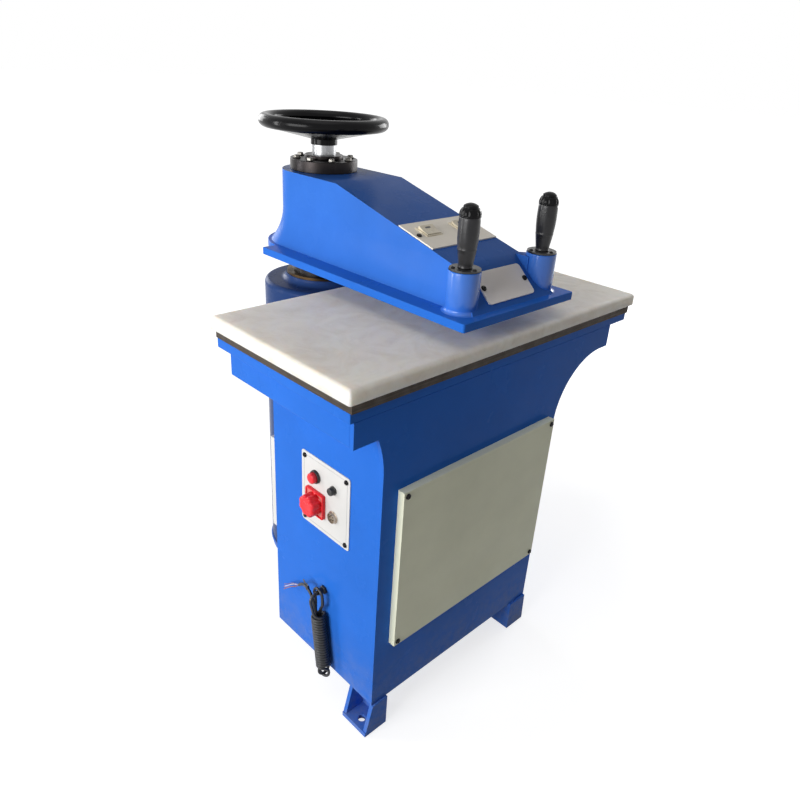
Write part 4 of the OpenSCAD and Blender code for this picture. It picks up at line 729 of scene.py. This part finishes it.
# tapered strain relief with moulded rings, and its nut on the wall
relief = Shape()
to_wall = place_at(CABINET_LEFT, GLAND[1], GLAND[2], TO_LEFT)
relief.lathe([(0, 0), (9.4, 0), (9.4, 4.6), (8.4, 6), (0, 6)], to_wall, 48,
             radius=hexagon_rings(0, 2))
rings = [(6.6, 5.5), (8.0, 6.2)]
for i in range(5):
    z, r = 7.0 + i * 3.0, 7.7 - i * 0.52
    rings += [(r, z), (r, z + 1.7), (r - 1.1, z + 2.0), (r - 1.2, z + 2.8)]
rings += [(5.0, 22.4), (4.9, 23.6), (4.0, 24.0), (0, 24.0)]
relief.lathe(rings, to_wall, 40)
strain_relief = piece(relief, "strain_relief", ["black"], replaced=("cord_gland",), sharp=30)

# stripped cores at the bare end, and a cable tie on the tail
CORE_R, STRAND_R = 1.25, 0.75
sheath_end = cord_line[-1]
cores = Shape()
core_ends = (
    (Vector((-376, -338, 232)), (0.9, 0.6, 0.2), 0),
    (Vector((-379, -342, 229)), (-0.8, 1.0, -1.1), 1),
    (Vector((-373, -335, 236)), (0.4, -1.4, 0.9), 2),
)
for end, offset, look in core_ends:
    begin = sheath_end / MM + Vector(offset)
    back = (cord_line[-1] - cord_line[-3]).normalized()
    mids = [begin - back * 3, begin, begin + back * 9 + Vector(offset) * 1.2,
            begin.lerp(end, 0.45) + Vector((offset[2] * 1.8, 0, 2.6 + offset[0])),
            begin.lerp(end, 0.75) + Vector((offset[1], 0, 1.4)), end]
    route = [Vector(p) * MM for p in smooth_line(mids, 1.6)]
    cores.tube(route[:-4], CORE_R * MM, 10, slot=look)
    cores.tube(route[-6:], STRAND_R * MM, 8, slot=3)
wire_ends = piece(cores, "wire_ends", ["core_white", "core_pink", "core_violet", "copper"])

tie = Shape()
tie_spot = mm(*hank_point((-6.3, 22.0, 218.5)))
tie_at = min(range(len(cord_line)), key=lambda i: (cord_line[i] - tie_spot).length)
tie_head = (cord_line[tie_at + 1] - cord_line[tie_at - 1]).normalized()
tie_turn = tie_head.to_track_quat("Z", "Y").to_matrix()
tie_place = Matrix.Translation(cord_line[tie_at]) @ tie_turn.to_4x4()
tie.lathe([(3.4, -1.7), (4.3, -1.7), (4.5, 0), (4.3, 1.7), (3.4, 1.7)], tie_place, 32, closed=True)
tie_up = Vector((0, 0, 1)) - tie_head * tie_head.z
tie_up.normalize()
knot = cord_line[tie_at] + tie_up * 5.2 * MM
tail = [knot / MM, knot / MM + Vector((1, 6, 4)), Vector((-379.5, -427, 303.5)), Vector((-377.5, -417, 308))]
tie.tube([Vector(p) * MM for p in smooth_line(tail, 1.5)], 1.7 * MM, 8, flat=0.35)
tie.stack([[(x * 5.0, y * 4.2, z) for x, y in rounded(1, 1, 0.2, 2)] for z in (-2.2, 2.2)],
          Matrix.Translation(knot) @ tie_turn.to_4x4())
cable_tie = piece(tie, "cable_tie", ["black"], sharp=30)


# ------------ floor and light

FLOOR_NEAR, FLOOR_FAR = 0.9, 2.4
FLOOR_LIFT = 0.72
SKY_LIGHT = 0.13
LAMP_SPREAD = math.radians(120)


def stage_floor():
    """Pale floor with the object's shadow near it and the plain white of the background further out."""
    bpy.ops.mesh.primitive_plane_add(size=60, location=(0, 0, -0.0004))
    floor = bpy.context.object
    floor.name = "floor"
    g = Graph("floor")
    g.set(Base_Color=rgb("b8b8b8"), Roughness=0.9, Specular_IOR_Level=0.1)
    away = g.node("ShaderNodeVectorMath", {"Vector": g.place}, operation="LENGTH").outputs["Value"]
    far = g.node("ShaderNodeMapRange", {"Value": away, "From Min": FLOOR_NEAR, "From Max": FLOOR_FAR,
                                        "To Min": FLOOR_LIFT, "To Max": 1.0}).outputs[0]
    g.set(Emission_Color=(1, 1, 1, 1), Emission_Strength=g.multiply(g.sees_background(), far))
    floor.data.materials.append(g.material)


def plain_world():
    """White where it is seen, and a low even light on the object."""
    world = bpy.data.worlds.new("studio")
    bpy.context.scene.world = world
    world.use_nodes = True
    sky = Nodes(world.node_tree)
    background = sky.tree.nodes["Background"]
    level = sky.node("ShaderNodeMapRange", {"Value": sky.sees_background(), "To Min": SKY_LIGHT, "To Max": 1.0})
    sky.put(background.inputs["Color"], (1, 1, 1, 1))
    sky.put(background.inputs["Strength"], level.outputs[0])


def lamp(name, place, aim, size, watts):
    data = bpy.data.lights.new(name, "AREA")
    data.shape = "RECTANGLE"
    data.size, data.size_y = size
    data.energy = watts
    data.spread = LAMP_SPREAD
    o = bpy.data.objects.new(name, data)
    bpy.context.scene.collection.objects.link(o)
    o.location = place
    o.rotation_euler = (Vector(aim) - Vector(place)).to_track_quat("-Z", "Y").to_euler()


stage_floor()
plain_world()
lamp("key_left", (-4.2, -0.4, 1.5), (0, -0.4, 0.6), (2.6, 2.2), 76)
lamp("fill_right", (4.4, -0.2, 1.6), (0, -0.3, 0.6), (2.2, 2.0), 45)
lamp("fill_back", (0.3, 4.4, 1.8), (0, -0.2, 0.7), (2.4, 2.0), 30)
lamp("top", (-0.6, -0.6, 4.2), (0, -0.4, 0.9), (2.2, 2.2), 6.5)
lamp("strip", (-2.2, 1.6, 1.2), (0, -0.4, 0.9), (0.3, 1.9), 14)
bpy.context.scene.view_settings.view_transform = "Standard"


# ------------ carried-over nodes

dress("blue", ["cabinet_shell", "head_box"], 2.0)
dress("blue", ["front_plate"], 4.5, 4)
dress("blue", ["table_plate", "front_feet", "rear_base", "neck_box"], 1.6)
dress("blue", ["arm_plate"], 1.8, 3)
dress("tower_painted_shade", ["column_tower"])
dress("blue_cast", ["arm_body"], 2.5, 3, 40)
dress("cover", ["front_cover"], 1.0)
dress("white", ["rear_cover"], 1.0)
dress("cream_sheet", ["switch_plate"], 0.8)
dress("white", ["control_plate"], 0.5)
dress("plate", ["blank_plate"], 0.9)
dress("underlay", ["board_underlay"], 1.0)
dress("bronze", ["wiper_ring", "column_bushes", "lift_nut"])
# the column and sleeve carry painted shade as well as oily stains
dress("oiled_shaded", ["guide_sleeve", "column"])
dress("tank", ["hydraulic_cylinder", "oil_tank"], 1.0)
dress("spring", ["return_spring"])
dress("aluminium", ["bell_housing", "motor"])
dress("bright", ["motor_shaft", "valve_block", "pressure_pipe", "bright_collar", "thrust_bearings"])
dress("iron", ["pump"])
dress("grey", ["control_gear", "thumb_switches"])
dress("ground", ["piston_rod", "adjusting_screw"])
dress("gloss", ["handwheel", "thumb_button_left", "thumb_button_right"])
dress("blacked", ["wheel_nut"], 0.7)
dress("blacked", ["column_flange", "bearing_cap"], 1.2)
dress("black", ["handle_discs"], 0.5)
dress("cream", ["rocker_frames", "rocker_left", "rocker_right"], 0.6)


# ------------ screws

def button_head(shape, place, r=5.5, h=3.4, socket=2.1):
    """Button-head screw with a hexagon socket."""
    profile = [(0, h - 1.7), (socket, h - 1.7), (socket, h - 0.12), (socket + 0.25, h)]
    flat_r = socket + 0.9
    profile += [(flat_r + (r - flat_r) * sine, h * (0.28 + 0.72 * cosine)) for sine, cosine in quarter_turn()]
    profile += [(r, 0.2), (r - 0.2, 0), (0, 0)]
    shape.lathe(profile, place, 36, radius=hexagon_rings(1, 3))


def four(w, h):
    """Corners of a rectangle round 0."""
    return [(sx * w / 2, sy * h / 2) for sx in SIDES for sy in SIDES]


heads = Shape()
for x, z in four(COVER_W - COVER_INSET, COVER_H - COVER_INSET):
    button_head(heads, place_at(COVER_X + x, FRONT_Y - COVER_OUT, COVER_Z + z, TO_FRONT), 6.2, 3.8)
for x, z in four(190, 216):
    button_head(heads, place_at(REAR_COVER_X + x, REAR_Y + REAR_COVER_OUT, REAR_COVER_Z + z, TO_REAR))
for y, z in four(135, 153):
    button_head(heads, place_at(CONTROL_FACE, CONTROL_Y + y, CONTROL_Z + z, TO_LEFT))
piece(heads, "sheet_screws", ["screw"], replaced=("panel_screws",), sharp=40)

heads = Shape()
for sx in SIDES:
    button_head(heads, shifted(on_slope(-425), sx * 88, 0, SHEET_TOP), 6.0, 3.6)
    button_head(heads, shifted(on_nose(BLANK_PLACE), sx * 65, 0, SHEET_TOP), 6.0, 3.6)
piece(heads, "arm_plate_screws", ["screw"], "arm", ("arm_screws",), sharp=40)

heads = Shape()
for sx in SIDES:
    for i in range(3):
        a = math.radians(i * 120 + 30)
        spot = (sx * BOSS_X + DISC_SCREWS_R * math.cos(a), BOSS_Y + DISC_SCREWS_R * math.sin(a), DISC_Z + DISC_T)
        button_head(heads, place_at(*spot), 4.2, 2.6, 1.5)
piece(heads, "disc_screws", ["screw"], "arm", sharp=40)


# ------------ handles

grip_profile = [
    (9.2, 0.0), (13.8, 0.0), (14.5, 0.6), (14.6, 2.0), (14.0, 3.4), (14.3, 7.0), (15.1, 13.0), (16.2, 20.0),
    (17.3, 27.0), (18.2, 33.6), (18.5, 34.3), (18.5, 36.4), (18.3, 37.2), (18.7, 41.0), (19.5, 48.0),
    (20.1, 56.0), (20.4, 66.0), (20.3, 78.0), (20.0, 88.0), (19.8, 92.2), (19.2, 94.0), (10.1, 94.0),
    (10.1, 54.6), (9.2, 54.0),
]
handles = Shape()
for sx in SIDES:
    handles.lathe(grip_profile, place_at(sx * BOSS_X, BOSS_Y, GRIP_Z), 64, closed=True)
piece(handles, "hand_grips", ["grip"], "arm", ("grips",), sharp=50)

cap_profile = [
    (10.1, 0.0), (19.9, 0.0), (20.5, 0.6), (20.6, 1.8), (20.2, 2.5), (20.5, 3.2), (20.6, 4.4), (20.55, 6.4),
    (20.2, 8.4), (19.5, 10.6), (18.4, 12.9), (17.0, 15.0), (16.0, 15.8), (15.0, 16.0), (14.5, 15.4), (14.4, 4.6),
    (10.1, 4.4),
]


FLUTES, FLUTE_DEEP, FLUTE_LOW, FLUTE_L = 12, 1.5, 3.0, 11.0


def fluted(a, r, z, k):
    """Flutes on the cap's side, deepest halfway up."""
    if r < 17.5 or z < FLUTE_LOW:
        return r
    dip = (0.5 + 0.5 * math.cos(FLUTES * a)) ** 2
    return r - FLUTE_DEEP * dip * math.sin(math.pi * (z - FLUTE_LOW) / FLUTE_L)


caps = Shape()
for sx in SIDES:
    caps.lathe(cap_profile, place_at(sx * BOSS_X, BOSS_Y, GRIP_TOP), 144, closed=True, radius=fluted)
piece(caps, "cap_rings", ["gloss"], "arm", ("grip_caps",), sharp=50)


# ------------ control plate

def on_panel(spot):
    return place_at(CONTROL_FACE, spot[0], spot[1], TO_LEFT)


def barrel(r, deep):
    """Profile of a fitting's part behind the plate."""
    return [(r, 0.5), (r, -deep), (0, -deep)]


fittings = Shape()
# black ring of the push button
fittings.lathe([(12.4, 0.0), (14.7, 0.0), (15.0, 0.4), (15.0, 4.6), (14.4, 5.6), (13.4, 6.0), (12.6, 5.7),
                (12.4, 5.2)], on_panel(BUTTON), 64, closed=True)
fittings.lathe([(11, 0.2), (11, -36), (9.4, -36), (9.4, 0.2)], on_panel(BUTTON), 40, closed=True)
# fuse holder with a grooved cap and a coin slot
fittings.lathe([(9.8, 0), (10, 0.4), (10, 2.6), (9.4, 3.0), (0, 3.0)], on_panel(FUSE), 48)
fittings.lathe([(8.6, 3.0), (8.6, 10.4), (7.8, 11.6), (6.6, 12.0), (4.4, 12.0), (4.1, 11.6), (0, 11.6)],
               on_panel(FUSE), 72, radius=ribbed(18, 0.35, 7))
fittings.lathe(barrel(7, 36), on_panel(FUSE), 32)
# round socket: flange, shell, insulating face, key and pins
fittings.lathe([(13.6, 0), (14, 0.4), (14, 1.6), (13.4, 2.0), (12.3, 2.0), (12.3, 6.6), (11.9, 7.0), (11.0, 7.0),
                (10.8, 6.6), (10.8, 1.0), (0, 1.0)], on_panel(SOCKET), 64, slot=1,
               radius=ribbed(30, 0.25, 12, 2.2))
fittings.lathe(barrel(10.8, 23), on_panel(SOCKET), 40, slot=1)
fittings.lathe([(10.72, 1.0), (10.72, 3.7), (10.2, 4.05), (0, 4.05)], on_panel(SOCKET), 48, slot=3)
for i in range(5):
    a = math.radians(i * 72 + 90)
    pin = shifted(on_panel(SOCKET), 5.8 * math.cos(a), 5.8 * math.sin(a))
    fittings.lathe([(0, 4.9), (1.3, 4.8), (1.8, 4.2), (1.8, 3.9)], pin, 16)
    fittings.lathe([(0, 6.4), (0.6, 6.3), (0.9, 5.9), (0.9, 4.0)], pin, 16, slot=2)
fittings.stack([[(x * 2.4 + 9.6, y * 3.4, z) for x, y in rounded(1, 1, 0.3, 2)] for z in (3.8, 6.2)],
               on_panel(SOCKET))
piece(fittings, "control_fittings", ["black", "nickel", "bronze", "face"], replaced=("panel_fittings",),
      sharp=35)

push = Shape().lathe([(0, -29.4), (8, -29.4), (8, 4.6), (11.6, 4.6), (11.9, 5.0), (11.9, 12.6), (11.5, 14.2),
                      (10.2, 15.6), (7.6, 16.5), (4.2, 16.95), (0, 17.1)], on_panel(BUTTON), 64)
piece(push, "push_cap", ["red"], "push_button", ("red_button",), sharp=45)

def square(width, corner_r, z):
    return [(x, y, z) for x, y in rounded(width, width, corner_r)]


# main switch: square base with a raised rim, and a lobed knob
base = Shape()
rim = [(59.4, 5, 0), (60, 5.3, 0.6), (60, 5.3, 7.0), (59.2, 5, 7.8), (58.4, 4.6, 8.0), (54.6, 2.8, 8.0),
       (54.0, 2.5, 7.6), (53.8, 2.4, 5.0)]
base.stack([square(*row) for row in rim], on_panel(SWITCH), caps=False)
base.stack([square(53.9, 2.4, 4.7), square(53.9, 2.4, 5.05)], on_panel(SWITCH), slot=1)
base.lathe(barrel(19.5, 52), on_panel(SWITCH), 48, slot=2)
MARK_X, MARK_L, MARK_W = 25.2, 2.4, 1.3
for angle in (0, 90):
    mark = on_panel(SWITCH) @ Matrix.Rotation(math.radians(angle), 4, "Z")
    outline = [(sx * MARK_L / 2 + MARK_X, sy * MARK_W / 2) for sx, sy in ((-1, -1), (1, -1), (1, 1), (-1, 1))]
    base.stack([[(x, y, z) for x, y in outline] for z in (5.0, 5.35)], mark, slot=3)
piece(base, "switch_mount", ["red", "pink", "black", "core_white"], replaced=("switch_base",),
      sharp=35)


LOBES, LOBE_DEEP = 8, 2.9


def lobed(a, r, z, k):
    """Broad hollows round the knob, which fade out on its face."""
    if r < 16 or z < 6.5:
        return r
    dip = (0.5 + 0.5 * math.cos(LOBES * a)) ** 1.4
    return r - LOBE_DEEP * dip * min(1.0, (r - 14) / 9)


knob = Shape().lathe([(0, 5.35), (23.6, 5.35), (25.2, 5.9), (26.0, 7.2), (26.0, 23.4), (25.3, 26.2), (23.4, 28.4),
                      (20.6, 29.3), (15, 29.0), (8, 28.6), (0, 28.5)], on_panel(SWITCH), 144, radius=lobed)
knob.lathe(barrel(5, 40), on_panel(SWITCH), 24)
knob.stack([[(x * 2.6 + 16.5, y * 8, z) for x, y in rounded(1, 1, 0.4, 3)] for z in (28.2, 29.2)],
           on_panel(SWITCH))
piece(knob, "lobed_knob", ["red"], "switch_knob", ("main_knob",), sharp=40)

# fine engraved border of the control plate
BORDER_W, BORDER_H, BORDER_LINE = 159, 141, 0.7
border = Shape()
ring_out = rounded(BORDER_W, BORDER_H, 4)
ring_in = rounded(BORDER_W - 2 * BORDER_LINE, BORDER_H - 2 * BORDER_LINE, 3.4)
n = len(ring_out)
points = [(x, y, z) for z in (0.02, 0.14) for ring in (ring_out, ring_in) for x, y in ring]
faces = []
for i in range(n):
    j = (i + 1) % n
    faces += [[2 * n + i, 2 * n + j, 3 * n + j, 3 * n + i], [i, j, 2 * n + j, 2 * n + i],
              [n + j, n + i, 3 * n + i, 3 * n + j], [j, i, n + i, n + j]]
border.add(points, faces, on_panel((CONTROL_Y, CONTROL_Z)))
piece(border, "plate_border", ["line"])

# dark mark on each rocker, on the half that stands up
for name, sx in (("left", -1), ("right", 1)):
    spot = shifted(on_slope(-415), sx * 50, 0, SHEET_TOP) @ Matrix.Rotation(math.radians(10), 4, "X")
    lift = Matrix.Rotation(math.atan(1.6 / 14.5), 4, "X")
    mark = Shape().stack([[(x * 15, y * 4.4, z) for x, y in rounded(1, 1, 0.2, 2)] for z in (-0.3, 0.2)],
                         spot @ Matrix.Translation(mm(0, 7.0, 5.17)) @ lift)
    piece(mark, "rocker_mark_" + name, ["mark"], name + "_rocker")

# zinc bolts with washers on the arm's flange
bolts = Shape()
for i in range(FLANGE_BOLTS):
    a = math.radians(45 * (i + 0.5))
    spot = place_at(BOLT_CIRCLE_R * math.cos(a), BOLT_CIRCLE_R * math.sin(a), FLANGE_TOP,
                    Matrix.Rotation(draw.uniform(0, 1), 3, "Z"))
    bolts.lathe([(0, 0.02), (9.6, 0.02), (10, 0.4), (10, 1.5), (9.6, 1.8), (0, 1.8)], spot, 32, slot=1)
    bolts.lathe([(6.5, 1.8), (6.5, 6.4), (5.9, 7.3), (5.0, 7.5), (0, 7.5)], spot, 48,
                radius=hexagon_rings(0, 1))
    bolts.lathe([(4, 1.9), (4, -22), (0, -22)], spot, 16)
piece(bolts, "hex_bolts", ["zinc", "blacked"], "arm", ("flange_bolts",), sharp=30)


# ------------ cutting board

EDGE_IN, EDGE_DOWN, CHAMFER = 10, 9, 0.8


def board_ring(inset, z):
    """Outline of the board at a height, moved in from its edge."""
    corner_r = max(BOARD_CORNER_R - inset * 0.4, 1.0)
    return [(x, y, z) for x, y in rounded(BOARD_L - 2 * inset, BOARD_D - 2 * inset, corner_r, 8)]


board = Shape()
shoulder = BOARD_TOP - EDGE_DOWN
edge = [(CHAMFER, BOARD_LOW), (0.0, BOARD_LOW + CHAMFER), (0.0, shoulder)]
edge += [(EDGE_IN * (1 - cosine), shoulder + EDGE_DOWN * sine) for sine, cosine in quarter_turn()]
edge += [(24, BOARD_TOP), (60, BOARD_TOP)]
board.stack([board_ring(*e) for e in edge], place_at(0, BOARD_Y, 0))
piece(board, "nylon_board", ["board"], replaced=("cutting_board",), sharp=60)


# ------------ welds and fillets

def weld(shape, path, r=3.4, pitch=4.0, step=1.1):
    """A hand-laid bead: ripples of uneven length along the path, which is in millimetres."""
    line = respaced(np.array(path, float), step)
    phase, sizes = draw.random() * 6, []
    for i in range(len(line)):
        s = i * step
        phase += draw.uniform(-0.05, 0.05)
        ripple = 0.10 * abs(math.sin(math.pi * s / pitch + phase))
        ends = min(1.0, 0.35 + min(s, (len(line) - 1) * step - s) / 6)
        sizes.append(r * (0.90 + ripple + draw.uniform(-0.015, 0.015)) * ends * MM)
    shape.tube([Vector(p) * MM for p in line], sizes, 8)


def arc_at(r, z, start, end, count):
    """Points of an arc about the column, from one angle in degrees to another."""
    return [(r * math.cos(a), r * math.sin(a), z) for a in np.radians(np.linspace(start, end, count))]


beads = Shape()
for sx in SIDES:
    weld(beads, [(sx * NECK_HALF, REAR_Y + 1, 110), (sx * NECK_HALF, REAR_Y + 1, 765)])
weld(beads, arc_at(TOWER_R + 1, TOWER_FOOT_Z, -62, 242, 140))
neck_meets_y = -math.sqrt(TOWER_R**2 - NECK_HALF**2) - 1
for sx in SIDES:
    weld(beads, [(sx * (NECK_HALF + 1), neck_meets_y, 112), (sx * (NECK_HALF + 1), neck_meets_y, 800)])
for x, out in ((CABINET_LEFT, -1), (CABINET_RIGHT, 1)):
    weld(beads, [(x - out * FLARE_OUT, FRONT_Y - 4, SKIRT_Z), (x - out * 2, FRONT_Y - 4, SKIRT_Z)], 2.6)
piece(beads, "frame_welds", ["blue"], sharp=80)

# glossier skin of the turned handle bosses, in a lighter blue that is painted light, with soft fillets where they
# stand on the striking plate
FILLET_R, SKIN_T, BOSS_ROUND_R = 7.5, 0.25, 2.5
boss_h, round_r = DISC_Z - BODY_Z, BOSS_ROUND_R + SKIN_T
skin = [(BOSS_R - 1.5, 0.0), (BOSS_R + FILLET_R, 0.0)]
skin += [(BOSS_R + FILLET_R * (1 - sine), FILLET_R * (1 - cosine)) for sine, cosine in quarter_turn()]
skin.append((BOSS_R + SKIN_T, FILLET_R + 1))
for a in np.radians(np.arange(0, 80, 16)):
    skin.append((BOSS_R - BOSS_ROUND_R + round_r * math.cos(a), boss_h - BOSS_ROUND_R + round_r * math.sin(a)))
skin += [(BOSS_R - 1.9, boss_h - 0.6), (BOSS_R - 1.5, FILLET_R)]
boss_skins = Shape()
for sx in SIDES:
    boss_skins.lathe(skin, place_at(sx * BOSS_X, BOSS_Y, BODY_Z), 96, closed=True)
piece(boss_skins, "boss_fillets", ["blue_boss"], "arm", sharp=60)
